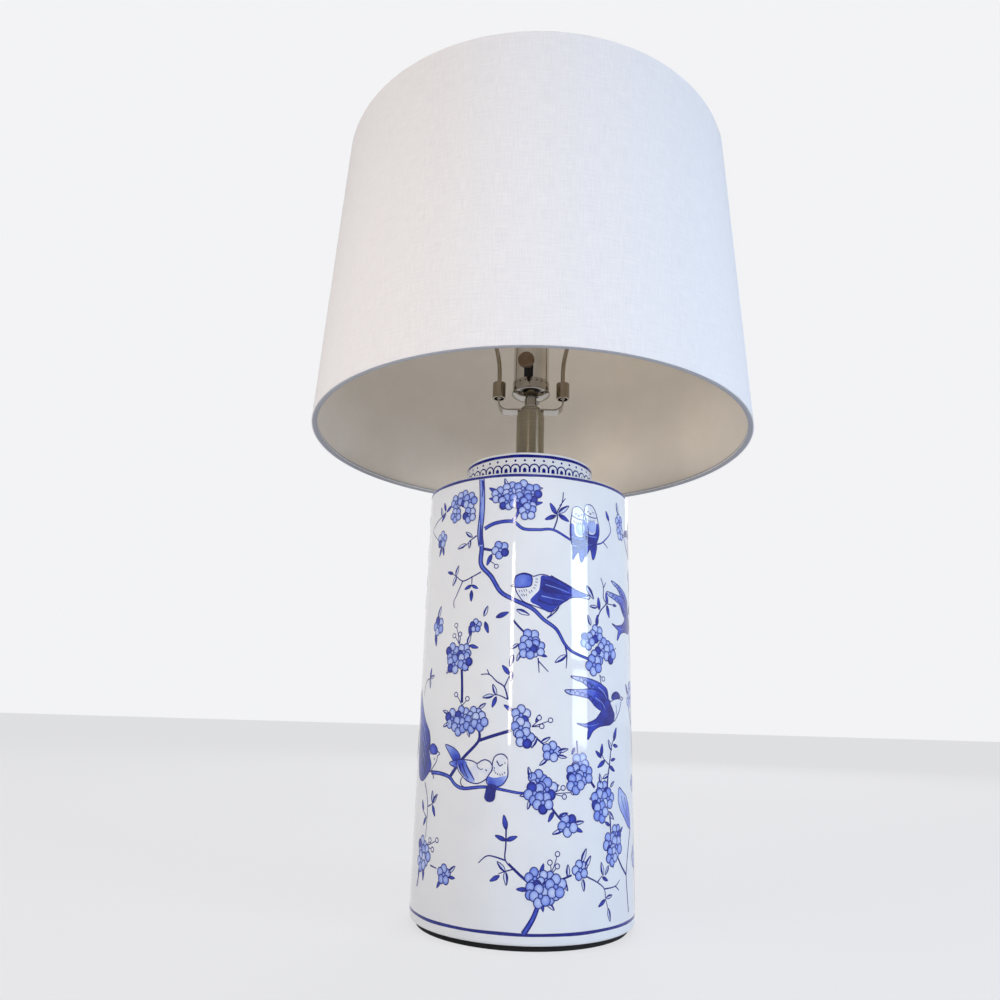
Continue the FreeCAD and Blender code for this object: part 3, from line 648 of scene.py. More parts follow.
def blossom(s, z, size):
    # five petals round a small heart, and in nearly half the blossoms one petal is dark
    turn = dice.uniform(0, 72)
    dark = dice.randrange(11)
    for index in range(5):
        angle = math.radians(turn + 72 * index)
        tone = 0.9 if index == dark else dice.uniform(0.26, 0.46)
        reach = size * painting["petalReach"]
        petal(s + reach * math.cos(angle), z + reach * math.sin(angle),
              size * painting["petalRadius"], tone)
    petal(s, z, size * painting["heartRadius"], 0.5)


def cluster(*places, size):
    startMotif()
    for s, z in places:
        blossom(s, z, size * dice.uniform(0.9, 1.06))


def berries(root, *places):
    # pale ringed berries on fine stalks from one root
    startMotif()
    for s, z in places:
        stroke([root, ((root[0] + s) / 2 + 0.6, (root[1] + z) / 2), (s, z)], 0.75, 0.6)
    for s, z in places:
        fill(circle(s, z, painting["berryRadius"], 10), 0.04)
        outlined(circle(s, z, painting["berryRadius"] + 0.1, 14), 0.7, soft=False)


def paintLimbs():
    # the long bough, then the trunk that it leaves, washed pale between two bark lines
    branch([(-39, 290), (-38, 284), (-38, 271), (-29, 261), (-21, 249), (-11, 243), (4, 236),
            (13, 228), (23, 221), (30, 210), (37, 204.5), (51, 200)], 4.4, 2.2)
    trunk = [(-40, 342), (-39, 326), (-39, 312), (-40, 297), (-38.5, 286)]
    stroke(trunk, 5.0, 4.4, 0.44)
    for side in (-2.2, 2.1):
        stroke([(s + side, z) for s, z in trunk], 0.8, 1.1)
    stroke([(-39.6, 306), (-39.4, 296), (-38.6, 287)], 0.6, 4.2, 0.92)
    stroke([(-39.4, 341), (-38.6, 334), (-39.4, 327)], 2.2, 0.8, 0.9)
    stroke([(-40.2, 322), (-40.4, 312), (-39.6, 305)], 0.8, 1.4, 0.66)
    branch([(30, 210), (31.5, 202), (31, 192)], 1.6, 0.5)
    branch([(-36, 300), (-27, 304), (-13, 305), (-4, 299), (8, 298.5), (20, 299), (35, 292), (47, 289),
            (60, 292), (67, 295), (77, 305), (75, 314)], 3.4, 0.8)
    branch([(-13, 305), (-9, 311), (-8, 318)], 3.0, 2.0)
    branch([(-38, 284), (-29, 282)], 2.6, 2.2)
    branch([(-52.5, 190), (-51.5, 178), (-51, 165)], 2.4, 2.4)
    branch([(-36, 148), (-35, 138), (-49, 124), (-60, 111)], 2.0, 2.8)
    branch([(-35, 138), (-23, 142), (-10, 146)], 2.4, 2.4)
    branch([(-83, 113), (-71, 113), (-60.5, 111), (-54, 106), (-46, 104), (-27, 106), (-3, 103),
            (6, 104)], 3.2, 1.8)
    branch([(5, 144), (10, 140), (15, 136)], 1.6, 1.2)
    branch([(-10.5, 227), (-7, 223), (-2, 218)], 1.8, 1.6)
    branch([(19, 95), (25, 88), (29, 84)], 1.8, 1.4)
    branch([(50, 114), (56, 107)], 2.2, 2.0)
    branch([(72, 89), (73, 75)], 1.6, 1.6)
    branch([(82, 57), (88, 50), (95, 44)], 1.6, 2.0)
    branch([(107, 76), (100, 60), (95.5, 44), (97, 30), (99, 18)], 1.6, 1.2)
    branch([(12.5, 33), (8, 22), (1.5, 12)], 3.2, 4.2)
    branch([(-10, 56), (-1.5, 49), (4, 45)], 1.8, 2.0)
    branch([(24, 45), (30, 47), (36, 49)], 1.6, 1.4)
    branch([(69, 100), (70, 113), (72, 122), (74, 132)], 1.8, 1.0)
    branch([(-99, 30), (-94, 45)], 1.8, 1.6)
    # a tall stem and its side shoots, round the side of the body
    branch([(126, 14), (123, 60), (129, 105), (120, 150), (126, 190), (118, 230), (124, 270)], 4.0, 1.6)
    branch([(129, 105), (140, 122), (150, 130)], 2.2, 1.0)
    branch([(120, 150), (110, 164), (106, 176)], 2.0, 0.9)
    branch([(118, 230), (134, 246), (146, 250)], 2.2, 1.0)


def paintTwigs():
    twig([(20, 299), (23, 308), (23, 314), (27, 322), (28, 331)], 1.3)
    twig([(25, 319), (30, 326)])
    twig([(67, 295), (73, 291)])
    twig([(-84, 318), (-98, 313), (-104, 308), (-94, 300), (-88, 296)])
    twig([(-38, 265), (-45, 262), (-55, 259), (-63, 264), (-70, 267)], 1.2)
    twig([(-55, 259), (-61, 248), (-64, 243), (-63, 238)], 1.1)
    twig([(-46, 261), (-46, 255)])
    twig([(-43, 295), (-48, 292), (-53, 288)], 1.3)
    twig([(58, 227), (63, 238), (70, 245), (67, 249), (67, 258), (64, 265)], 1.3)
    twig([(67, 257), (70, 262)])
    twig([(70, 245), (79, 245)])
    twig([(-13, 168), (-16, 177), (-22, 181), (-28, 186), (-35, 186)], 1.3)
    twig([(-28, 186), (-30, 190)])
    twig([(-16, 177), (-12, 186)])
    twig([(-13, 168), (-20, 171), (-24, 171)])
    twig([(9, 199), (10, 188)], 1.1)
    twig([(9, 197), (17, 189)])
    twig([(-12, 80), (-12, 68), (-12, 58), (-4, 51)], 1.3)
    twig([(-12, 58), (-20, 60), (-26, 60), (-32, 55)], 1.2)
    twig([(-5, 53), (-12, 51), (-17, 49)])
    twig([(47, 48), (58, 43), (65, 38), (66.5, 31), (69, 24)], 1.1)
    twig([(65, 38), (78, 38.5), (84, 42)])
    twig([(78, 38.5), (83, 35)])
    twig([(58, 43), (63, 47)])
    twig([(-93, 105), (-88, 96), (-86, 86), (-87, 66)], 1.0)
    twig([(-86, 88), (-79, 91), (-74, 97)])
    twig([(-87, 80), (-93, 84)])
    twig([(-78, 48), (-70, 47)], 1.3)
    twig([(40, 140), (40.5, 133), (41, 128)], 1.1)
    twig([(62, 189), (63.5, 182)])
    twig([(76, 207), (83, 211)])
    twig([(-93, 184), (-101, 181), (-106, 170)])
    twig([(74, 132), (76, 138), (79, 143)])
    twig([(73, 122), (66, 127), (62, 133)])
    twig([(150, 130), (155, 135)])
    twig([(146, 250), (156, 262)])


def paintLeaves():
    leaves((22, 312, 17, 321), (22, 311, 13, 307), (24, 313, 33, 320), (24, 312, 33, 307),
           (-17, 332, -20, 341), (-24, 328, -33, 334), (-24, 323, -33, 325), (3, 331, 11, 333),
           (3, 319, 11, 321), (-1, 313, -3, 306), (-72, 324, -79, 320), (-80, 320, -86, 313),
           (-80, 321, -83, 329), (-85, 317, -88, 326), (-84, 291, -87, 283), (-82, 291, -80, 283))
    leaves((-47, 294, -54, 299), (-49, 292, -50, 285), (-53, 289, -62, 286), (-29, 279, -33, 270),
           (-63, 264, -60, 272), (-66, 266, -73, 268), (-62, 264, -66, 256), (-46, 255, -53, 252),
           (-46, 255, -40, 252), (-46, 251, -46, 242), (-24, 229, -14, 233), (-8, 235, 2, 231))
    leaves((75, 314, 71, 322), (90, 323, 87, 333), (60, 241, 52, 241), (62, 239, 61, 249),
           (49, 257, 56, 247), (72, 245, 70, 254), (71, 244, 74, 234), (79, 245, 85, 245),
           (53, 226, 50, 234), (59, 226, 60, 235), (-12, 186, -18, 193), (-24, 171, -33, 169),
           (-22, 171, -25, 179), (-22, 170, -25, 162), (-6, 209, -12, 205), (-4, 203, -7, 196),
           (10, 202, 16, 200), (-10, 201, -12, 192), (31, 202, 22, 196), (-11, 189, -11, 181))
    leaves((-84, 231, -80, 241), (-87, 220, -85, 209), (-48, 209, -45, 217), (-46, 208, -38, 206),
           (-45, 215, -47, 223), (-63, 192, -69, 187), (-50, 192, -46, 189), (-34, 230, -31, 238),
           (-33, 226, -30, 217), (-64, 157, -71, 159), (-63, 150, -70, 147), (-36, 161, -30, 165),
           (-45, 147, -43, 140), (-93, 184, -91, 192), (-93, 184, -92, 176), (-92, 184, -85, 186))
    leaves((8, 152, 11, 158), (9, 142, 5, 134), (12, 138, 19, 142), (25, 132, 33, 134),
           (25, 129, 32, 128), (17, 127, 11, 122), (-9, 160, -16, 164), (5, 113, 3, 121),
           (3, 102, -3, 101), (5, 99, 3, 92), (20, 107, 26, 109), (22, 91, 18, 84),
           (26, 88, 33, 90), (38, 83, 46, 84), (38, 80, 45, 77), (29, 79, 21, 76))
    leaves((63, 128, 57, 133), (63, 129, 64, 138), (67, 126, 59, 121), (75, 133, 71, 141),
           (78, 140, 82, 150), (77, 137, 84, 136), (72, 122, 79, 118), (71, 116, 64, 113),
           (74, 126, 80, 127), (38, 135, 36, 130), (62, 110, 61, 117), (73, 107, 78, 111),
           (55, 101, 51, 99), (70, 90, 77, 84), (72, 80, 66, 83), (85, 74, 90, 78),
           (77, 58, 75, 51), (70, 53, 66, 47), (64, 47, 62, 56), (63, 46, 69, 43))
    leaves((-12, 71, -20, 74), (-12, 71, -4, 74), (-12, 78, -14, 88), (-12, 51, -18, 57),
           (-12, 51, -11, 42), (-16, 48, -23, 44), (13, 50, 15, 57), (4, 40, -4, 40),
           (14, 33, 15, 26), (17, 33, 23, 27), (33, 48, 33, 56), (29, 46, 33, 39),
           (44, 57, 48, 66), (47, 53, 52, 61), (45, 46, 46, 38), (66, 31, 59, 27),
           (67, 32, 74, 33), (69, 25, 71, 16), (-79, 91, -80, 100), (-79, 91, -73, 98),
           (-79, 90, -75, 82), (-88, 80, -92, 74), (-93, 84, -96, 92), (-57, 46, -51, 51),
           (-57, 43, -51, 43), (-65, 40, -69, 34), (-88, 45, -88, 36), (-95, 45, -97, 37))
    leaves((150, 130, 156, 124), (155, 135, 158, 144), (106, 176, 101, 184), (146, 250, 154, 244),
           (156, 262, 158, 272), (124, 270, 119, 280), (124, 270, 131, 279), (127, 200, 136, 206))


def paintBlossoms():
    cluster((-24, 327), (-15, 331), (-5, 332), (3, 329), (-18, 321), (-9, 322), (0, 321),
            (-1, 313), size=7.4)
    cluster((-66, 326), (-58, 328), (-51, 325), (-66, 315), (-51, 313), size=7.4)
    cluster((-84, 297), size=7.5)
    cluster((-22, 282), size=8.0)
    cluster((3, 213), (8, 206), (1, 205), size=7.6)
    cluster((59, 220), (50, 214), (68, 210), (74, 206), (60, 203), (56, 196), size=8.0)
    cluster((92, 317), (94, 308), size=7.5)
    cluster((-83, 225), size=8.0)
    cluster((-41, 223), size=6.0)
    cluster((-63, 203), (-51, 203), (-61, 194), (-50, 196), size=7.5)
    cluster((-60, 153), (-50, 156), (-39, 156), (-53, 148), (-42, 150), (-35, 152), size=7.5)
    cluster((-3, 157), (-3, 148), (0, 141), size=8.0)
    cluster((20, 132), size=8.0)
    cluster((43, 124), (38, 117), (47, 116), (39, 110), size=7.5)
    cluster((10, 112), (17, 106), (8, 103), (14, 97), size=8.4)
    cluster((33, 82), size=8.4)
    cluster((64, 105), (60, 98), (70, 99), (62, 90), size=7.8)
    cluster((80, 74), (72, 68), (80, 65), (74, 59), size=7.8)
    cluster((9, 47), (17, 46), (9, 39), (20, 38), (13, 36), (24, 42), size=7.8)
    cluster((43, 52), size=7.6)
    cluster((-92, 59), (-86, 54), (-92, 49), size=8.0)
    cluster((-62, 44), size=7.6)
    cluster((126, 60), (118, 54), (128, 50), size=8.0)
    cluster((122, 275), (130, 268), size=7.5)
    cluster((110, 172), (116, 180), size=7.5)
    cluster((140, 118), (150, 132), (144, 126), size=7.8)
    cluster((146, 252), (138, 250), size=7.5)
    cluster((118, 108), size=7.0)
    berries((-56, 209), (-60, 224), (-55.5, 217), (-61.5, 216))
    berries((-51, 163), (-57, 171), (-46, 168))
    berries((5, 149), (10.5, 155.5), (12.5, 149.5), (19, 154))
    berries((20, 103), (29, 107), (30, 101), (37, 104))
    berries((20, 50), (19.5, 57.5), (25, 63), (25, 55))
    berries((-86, 60), (-80, 65), (-71, 66), (-76, 59))
    berries((-31, 274), (-25, 269))
    berries((62, 188), (66, 186))


def featherStrokes(rows, width):
    for row in rows:
        stroke(row, width, width * 0.6)


def paintBigBird():
    # perched on the long bough, its wing and tail towards the right
    startMotif()
    body = [(-10.5, 256), (-9.5, 260.5), (-6.5, 262.5), (-2.5, 263.5), (2, 262.5), (4.5, 261),
            (9, 262.5), (14, 262.5), (24.5, 258.5), (35, 254), (44, 251), (52, 249), (51, 246.5),
            (43, 247), (35, 246), (31, 243.5), (26.5, 240.5), (21.5, 235.5), (17.5, 234), (12, 236),
            (4, 238.5), (-3, 241.5), (-6, 245), (-8.5, 249)]
    wing = [(11, 262), (19, 260.5), (30, 256), (41, 251.5), (51, 248.5), (43, 247.3), (35, 246.5),
            (31, 244), (25, 239.5), (17.5, 234), (8, 238.5), (3.5, 240.5), (2.5, 243), (6, 247),
            (9, 250.5), (10, 257)]
    cap = [(-10, 253), (-10.2, 257), (-9, 260.5), (-6, 262.3), (-2.5, 262.8), (1.5, 262),
           (3.5, 260), (3.5, 256), (2.5, 253.5), (-1, 252.5), (-6, 252)]
    wash(body, 0.03)
    wash(wing, 1.0, 0.66, (17, 252))
    wash(cap, 0.48, 0.74, (-4, 258))
    # brushed feathers over the wash, then pale streaks left between them
    featherStrokes([[(12, 259), (22, 256), (32, 252)], [(13, 251), (24, 249), (36, 248)],
                    [(8, 243), (17, 240), (24, 240)], [(18, 262), (28, 257.5), (38, 253)]], 1.6)
    for row in ([(14, 255), (24, 252.5), (34, 249.5)], [(11, 246), (20, 244.5), (29, 243.5)]):
        stroke(row, 1.0, 0.3, 0.5)
    outlined(body)
    outlined(cap)
    for s, z in ((-6.5, 250), (-4.7, 250.3), (-2.9, 250.6), (-1.1, 250.9), (-4.5, 247),
                 (-2.8, 247), (-1.1, 247.2), (1.4, 249.3), (3, 250.4)):
        stroke([(s, z), (s + 0.9, z - 1.7)], 0.6, 0.4, soft=False)
    for s, z in ((4.4, 252.2), (5.4, 254.4), (6.1, 256.8), (6.3, 259.2)):
        stroke([(s, z), (s + 1.9, z - 0.5)], 0.6, 0.4, soft=False)
    stroke([(25, 239.5), (23.5, 236), (19.5, 232), (15.5, 229)], 0.9, 1.1)
    stroke([(19, 234), (18, 231.5), (15.5, 229.5)], 0.7, 0.8)
    stroke([(-10.4, 254.6), (-13, 253.2), (-10.2, 252.6)], 0.8, 0.6)


def paintPerchedPair():
    # two round-headed birds side by side on the upper branch
    for dx, dz in ((-11.5, -3.5), (0, 0)):
        startMotif()

        def put(points):
            return [(s + dx, z + dz) for s, z in points]

        body = put([(47, 317), (48, 322), (51.5, 323.8), (55, 323), (57.5, 320.5), (59.5, 316.5),
                    (61, 311.5), (62.5, 305), (62, 299), (60, 294), (58, 291), (52.5, 290.5),
                    (48, 291), (46, 297), (45.5, 306)])
        tail = put([(48.5, 292), (48, 285.5), (48, 280), (50.5, 284), (53, 286.5), (55.5, 278.5),
                    (58.5, 284), (59, 292)])
        wing = put([(46, 309), (49, 308), (50, 301), (54, 299), (58, 301), (59.5, 309), (61.5, 308),
                    (62, 299), (59, 292), (52.5, 291), (48, 292), (46, 299)])
        belly = put([(51, 309), (58, 309.5), (58.3, 303.5), (55.5, 300), (51.5, 302)])
        wash(tail, 1.0, 0.7, put([(54, 291)])[0])
        outlined(tail)
        wash(body, 0.03)
        wash(wing, 1.0, 0.78, put([(54, 294)])[0])
        wash(belly, 0.2, 0.4, put([(55, 307)])[0])
        stroke(put([(47, 298.5), (53, 297.2), (59.5, 297.8)]), 0.7, 0.5, 0.5)
        outlined(body)
        stroke(put([(47, 316), (49.5, 314.6), (53, 313.6), (57, 313.3), (60.3, 314)]), 0.9, 0.8)
        for s in (50.6, 56.0):
            stroke(put([(s - 0.8, 318), (s, 317.3), (s + 0.9, 317.9)]), 0.7, 0.6)
        stroke(put([(52.4, 317), (53.2, 315.6), (54, 317)]), 0.8, 0.6)
        for s, z in ((48.6, 311.8), (50.4, 311), (52.4, 310.7), (54.4, 310.9), (56.4, 311.4)):
            stroke(put([(s, z), (s + 0.7, z - 1.3)]), 0.7, 0.5, soft=False)


def turnedShape(points, drawnAt, centre, degrees, flip):
    lean = math.radians(degrees)
    result = []
    for s, z in points:
        x, y = (s - drawnAt[0]) * flip, z - drawnAt[1]
        result.append((centre[0] + x * math.cos(lean) - y * math.sin(lean),
                       centre[1] + x * math.sin(lean) + y * math.cos(lean)))
    return result


def paintSwallow(centre=(66, 165), degrees=0, flip=1):
    # two swept wings with scalloped feathers, a forked tail, a white breast and a dark cap
    startMotif()
    drawnAt = (66, 165)

    def put(points):
        return turnedShape(points, drawnAt, centre, degrees, flip)

    upper = put([(35, 186.5), (46.5, 186), (54, 184.8), (61, 183), (66.5, 180.5), (70.5, 177.5),
                 (71.5, 169.5), (66.5, 171.5), (60, 174.5), (55, 177), (51, 178.5), (47.5, 181),
                 (43.5, 183), (39.5, 184)])
    lower = put([(30, 176), (40, 176.8), (46.5, 177.2), (52, 178), (57, 177.5), (63.5, 175.5),
                 (69, 172.5), (72.5, 167), (69, 163), (63, 162.5), (60, 163.5), (56, 166), (53, 169),
                 (50, 171), (46.5, 171.5), (42, 172.3), (37.5, 172.8), (33.5, 173.3)])
    body = put([(71, 171), (75, 168.5), (76.5, 164.5), (79.5, 159.5), (79, 156), (77, 154), (73, 152),
                (66.5, 151.3), (60, 150), (54.5, 147), (52, 143.5), (49.5, 140.8), (49.8, 146),
                (50.2, 149), (46, 150.3), (40, 152.2), (46.5, 152), (52, 153.5), (57, 155.5),
                (61, 159), (64, 163), (66, 168)])
    breast = put([(74, 168.5), (79.5, 171), (87, 171.8), (90.5, 171), (89, 166.5), (86.5, 162),
                  (82.5, 157.5), (78.5, 154.5), (79.5, 159.5), (76.5, 164.5)])
    cap = put([(75.5, 171.5), (77, 175.4), (82.5, 177.4), (87.5, 175.8), (89.3, 173), (85.5, 171.8),
               (79.5, 170.8)])
    for wing, root in ((upper, (66, 173)), (lower, (66, 169))):
        wash(wing, 1.0, 0.16, put([root])[0])
        outlined(wing, 0.9)
    wash(body, 1.0, 0.72, put([(74, 158)])[0])
    outlined(body, 0.9)
    wash(breast, 0.03)
    outlined(breast, 0.8)
    wash(cap, 0.96)
    # scalloped tips along each wing's trailing edge
    for s, z, reach, fall in ((34, 174.3, 4, -0.4), (38.4, 173.6, 4.2, -0.5), (42.8, 173, 4.4, -0.9),
                              (47.4, 172, 4, -1.4), (51.4, 170.6, 3.2, -2.4), (54.4, 168, 3.2, -2.4),
                              (57.4, 165.6, 3.4, -1.6), (42, 184, 4, -1), (45.8, 182.6, 4, -1.8),
                              (49.4, 180.6, 4, -1.8), (53.2, 178.8, 4.2, -1.8)):
        stroke(put([(s, z), (s + reach * 0.35, z + 2.3), (s + reach * 0.9, z + 1.9 + fall),
                    (s + reach, z + fall)]), 0.75, 0.6)
    stroke(put([(57, 171.5), (64, 168), (68, 163)]), 1.1, 0.4, 0.5)
    stroke(put([(60, 179.5), (66, 176), (69.5, 171.5)]), 0.9, 0.4, 0.4)
    stroke(put([(44, 151.6), (52, 150.8), (60, 152.6)]), 0.6, 0.4, 0.5)
    stroke(put([(89.8, 173.6), (94, 172.2), (90.6, 170.8)]), 0.8, 0.6)
    stroke(put([(81.5, 167), (82.5, 163), (82.2, 160)]), 0.5, 0.4)


def paintPair():
    # two birds nestled on the lower branch, one seen from the side and one from the front
    startMotif()
    for tail in ([(-66, 134), (-56, 131.5), (-50.5, 126), (-53, 122), (-57, 123), (-62, 128.5)],
                 [(-61, 121), (-53.5, 123.5), (-48, 121), (-51, 118), (-56.5, 118.6)]):
        wash(tail, 0.86, 0.34, (-52, 122))
        outlined(tail)
    left = [(-53, 123.5), (-45.5, 124), (-39.5, 123.5), (-35.5, 122), (-32.5, 123.8), (-29, 124.8),
            (-25.5, 123.5), (-23.5, 120.5), (-24, 117.5), (-26, 114.5), (-27.5, 112), (-31, 109.5),
            (-35.5, 108), (-41, 108.5), (-44.5, 110), (-48, 112.5), (-51.5, 116), (-53, 119.5)]
    leftWing = [(-53, 124), (-45.5, 123.2), (-43, 119), (-39, 114), (-37, 109.2), (-42.5, 109.2),
                (-46.5, 112.5), (-51, 117)]
    wash(left, 0.03)
    wash(leftWing, 0.8, 0.3, (-51, 120))
    featherStrokes([[(-48.5, 121.5), (-46, 116), (-42.5, 111)],
                    [(-44.5, 120.5), (-41, 115), (-37.5, 110.5)],
                    [(-51, 120), (-49, 115.5), (-46, 112.5)]], 1.2)
    outlined(left)
    stroke([(-35.5, 121.6), (-35.2, 119.5), (-32.5, 117.8), (-30.8, 118.6)], 0.7, 0.5)
    stroke([(-28.6, 117.9), (-27.6, 117.2)], 1.1, 0.9, soft=False)
    stroke([(-48, 111.5), (-49.5, 108.5), (-48, 105.8), (-46.4, 105.4)], 0.7, 0.7)
    right = [(-23, 124.5), (-21.5, 127.5), (-18, 129.2), (-14.5, 128.6), (-12, 125.5), (-12, 121.5),
             (-11.7, 115), (-13.5, 110.5), (-16.5, 107.5), (-21, 106.3), (-25, 107), (-27.5, 109),
             (-27.5, 112), (-25.5, 115), (-23.5, 118), (-23.5, 121.5)]
    apron = [(-27, 113.5), (-21.5, 112.6), (-12, 114.5), (-13.3, 110.5), (-16.5, 107.7), (-21, 106.6),
             (-25, 107.3), (-27, 109.5)]
    wash(right, 0.03)
    wash(apron, 0.85, 0.25, (-24, 107))
    outlined(right)
    wash([(-26.5, 107.5), (-28.5, 102), (-29, 98.5), (-27, 96.3), (-23.5, 96), (-21, 98),
          (-20.5, 102.5), (-20, 107.5)], 1.0)
    stroke([(-20.3, 124.5), (-18.7, 122), (-17.5, 120.9), (-15.6, 122.4)], 1.0, 0.8)
    stroke([(-14.4, 123.4), (-13.6, 122.8)], 0.9, 0.7, soft=False)
    for s, z in ((-22.2, 120), (-22.2, 118.2), (-21.2, 116.7), (-19.6, 115.8), (-17.8, 115.4),
                 (-16, 115.7), (-14.4, 117)):
        stroke([(s, z), (s + 0.6, z - 1.2)], 0.75, 0.5, soft=False)


def paintLeftBird():
    # perched at the left, its back and forked tail towards us
    startMotif()
    back = [(-118, 176), (-111, 167), (-104, 158), (-97, 150), (-90, 143.5), (-87, 136), (-88, 131),
            (-87.5, 126), (-83.5, 118), (-87, 112.5), (-97, 106), (-105, 107), (-110, 113),
            (-113, 123), (-113.5, 135), (-115, 148), (-118.5, 160), (-124, 173), (-119, 170)]
    face = [(-86, 127), (-77.5, 127), (-75.5, 128.5), (-72.3, 127), (-75, 125.4), (-76, 122),
            (-79.5, 118), (-86, 113), (-87, 119)]
    cap = [(-87, 132), (-82, 134), (-77.3, 132), (-75.4, 128.6), (-77.5, 126.6), (-84, 126.6),
           (-86.8, 129)]
    wash(face, 0.03)
    outlined(face)
    wash(back, 1.0, 0.7, (-98, 125))
    outlined(back)
    wash(cap, 0.66, 0.9, (-82, 130))
    outlined(cap)
    for step in range(4):
        stroke([(-104, 150 - 9 * step), (-98, 142 - 9 * step), (-94, 133 - 8 * step)], 1.1, 0.5, 0.5)
    for s in (-108, -112):
        stroke([(s, 152), (s - 4, 160), (s - 8, 170)], 0.9, 0.5, 0.5)
    stroke([(-79.6, 123.4), (-78.4, 122.4)], 0.9, 0.7, soft=False)
    stroke([(-84, 114), (-80.5, 112), (-79, 108.5)], 0.9, 0.9)


def paintTallBud():
    # one large bud on the right stem
    startMotif()
    bud = [(85, 106), (83.5, 98), (86, 91), (92, 85), (101, 77), (107, 76), (105, 88), (99, 98),
           (92, 102.5)]
    wash(bud, 0.2, 0.75, (88, 100))
    outlined(bud)
    featherStrokes([[(88, 100), (93, 91), (100, 82)], [(94, 99), (98, 90), (103, 81)]], 0.8)


def hoop(height, width, radius, tone):
    # a painted line right round, with the small wavering of a banding wheel
    startMotif()
    nextLift()
    arc = 2 * math.pi * radius / painting["repeats"]
    count = painting["hoopSteps"]
    waver = painting["waver"]
    for index in range(count):
        edges = []
        for step in (index, index + 1):
            angle = 2 * math.pi * step / count
            sway = waver * (math.sin(3 * angle) + 0.6 * math.sin(7 * angle + 1))
            half = width / 2 + 0.8 * waver * math.sin(5 * angle)
            edges.append((arc * step / count - arc / 2, height + sway, half))
        (s0, z0, h0), (s1, z1, h1) = edges
        addFace([(s0, z0 - h0, tone), (s1, z1 - h1, tone), (s1, z1 + h1, tone),
                 (s0, z0 + h0, tone)])


def wrapPaint(name, radius):
    # bends the flat drawing round the body, gives it the body's own normals, and stores the tone
    places, tones, normals, faces = [], [], [], []
    for copy in range(painting["repeats"]):
        first = len(places)
        for s, z, tone, lift in paint["points"]:
            angle = s / radius + 2 * math.pi * copy / painting["repeats"]
            places.append(around(angle, radius + lift, z))
            normals.append((math.sin(angle), -math.cos(angle), 0))
            tones.append(tone)
        faces += [tuple(first + index for index in face) for face in paint["faces"]]
    mesh = bpy.data.meshes.new(name)
    mesh.from_pydata(places, [], faces)
    for polygon in mesh.polygons:
        polygon.use_smooth = True
    mesh.attributes.new("tone", "FLOAT", "POINT").data.foreach_set("value", tones)
    mesh.normals_split_custom_set_from_vertices(normals)
    piece = bpy.data.objects.new(name, mesh)
    bpy.context.scene.collection.objects.link(piece)
    dress(piece, cobalt, "lamp_base", "porcelain")
    paint["points"].clear()
    paint["faces"].clear()
    print(name, sum(len(polygon.vertices) - 2 for polygon in mesh.polygons), "triangles")


def paintBody():
    paintLimbs()
    paintTwigs()
    paintLeaves()
    paintBlossoms()
    paintBigBird()
    paintPerchedPair()
    paintSwallow()
    paintSwallow(centre=(105, 239), degrees=-8)
    paintPair()
    paintLeftBird()
    paintTallBud()
    paintSwallow(centre=(128, 306), degrees=14, flip=-1)
    hoop(*painting["topHoop"], canister["radius"], 1.0)
    hoop(*painting["footHoop"], canister["radius"], 1.0)
    wrapPaint("painted_birds_and_blossoms", canister["radius"])


collar = {
    "arches": 44,
    "lineHeight": 371.0,
    "lineWidth": 2.7,
    "dotHeight": 367.0,
    "dotRadius": 1.05,
    "archTop": 363.6,
    "archFoot": 356.4,
    "archLine": 1.2,
    "archShare": 0.94,       # an arch's width by the space between two
    "heartHalf": 1.5,        # the dark heart in each arch: half width, shoulder and tip
    "heartShoulder": 2.8,
    "heartTip": 4.4,
}


def paintCollar():
    c = collar
    radius = canister["collarRadius"]
    pitch = 2 * math.pi * radius / c["arches"]
    count = c["arches"] // painting["repeats"]
    foot = c["archFoot"]
    half = pitch * c["archShare"] / 2
    spring = c["archTop"] - half
    hoop(c["lineHeight"], c["lineWidth"], radius, 1.0)
    for index in range(count):
        middle = (index + 0.5 - count / 2) * pitch
        startMotif()
        fill(circle(middle, c["dotHeight"], c["dotRadius"], 10), 1.0)
        bow = [(middle + half * math.cos(math.radians(a)), spring + half * math.sin(math.radians(a)))
               for a in range(0, 181, 15)]
        stroke([(middle + half, foot), *bow, (middle - half, foot)], c["archLine"], c["archLine"],
               soft=False)
        left, right = middle - c["heartHalf"], middle + c["heartHalf"]
        fill([(left, foot), (right, foot), (right, foot + c["heartShoulder"]),
              (middle, foot + c["heartTip"]), (left, foot + c["heartShoulder"])], 1.0)
    wrapPaint("painted_collar_border", radius)


paintBody()
paintCollar()
print("painting done")


# shade: linen outside, styrene inside, a rolled hem on each rim
fabricLow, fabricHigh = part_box("shade_fabric")
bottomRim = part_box("shade_bottom_hem")[0].z / mm
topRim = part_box("shade_top_hem")[1].z / mm
shade = {
    "bottom": fabricLow.z / mm,
    "top": fabricHigh.z / mm,
    "bottomRadius": 199.88,
    "topRadius": 188.42,
    "fabric": 0.7,
    "hemHeight": 4.0,
    "hemDepth": 4.6,
    "hemShow": -0.1,         # the roll's face against the cloth's, so just inside it
    "hemTape": 0.9,
    "hemRound": 1.6,
    "hemHollow": 1.4,        # from the rim to the hollow between the tape's two legs
    "innerEdgeRound": 0.4,
    "edgeRound": 0.3,
    "seamAngle": 65.0,       # degrees off the front
    "seamLap": 12.0,
    "seamHeight": 0.35,
    "steps": 288,
}


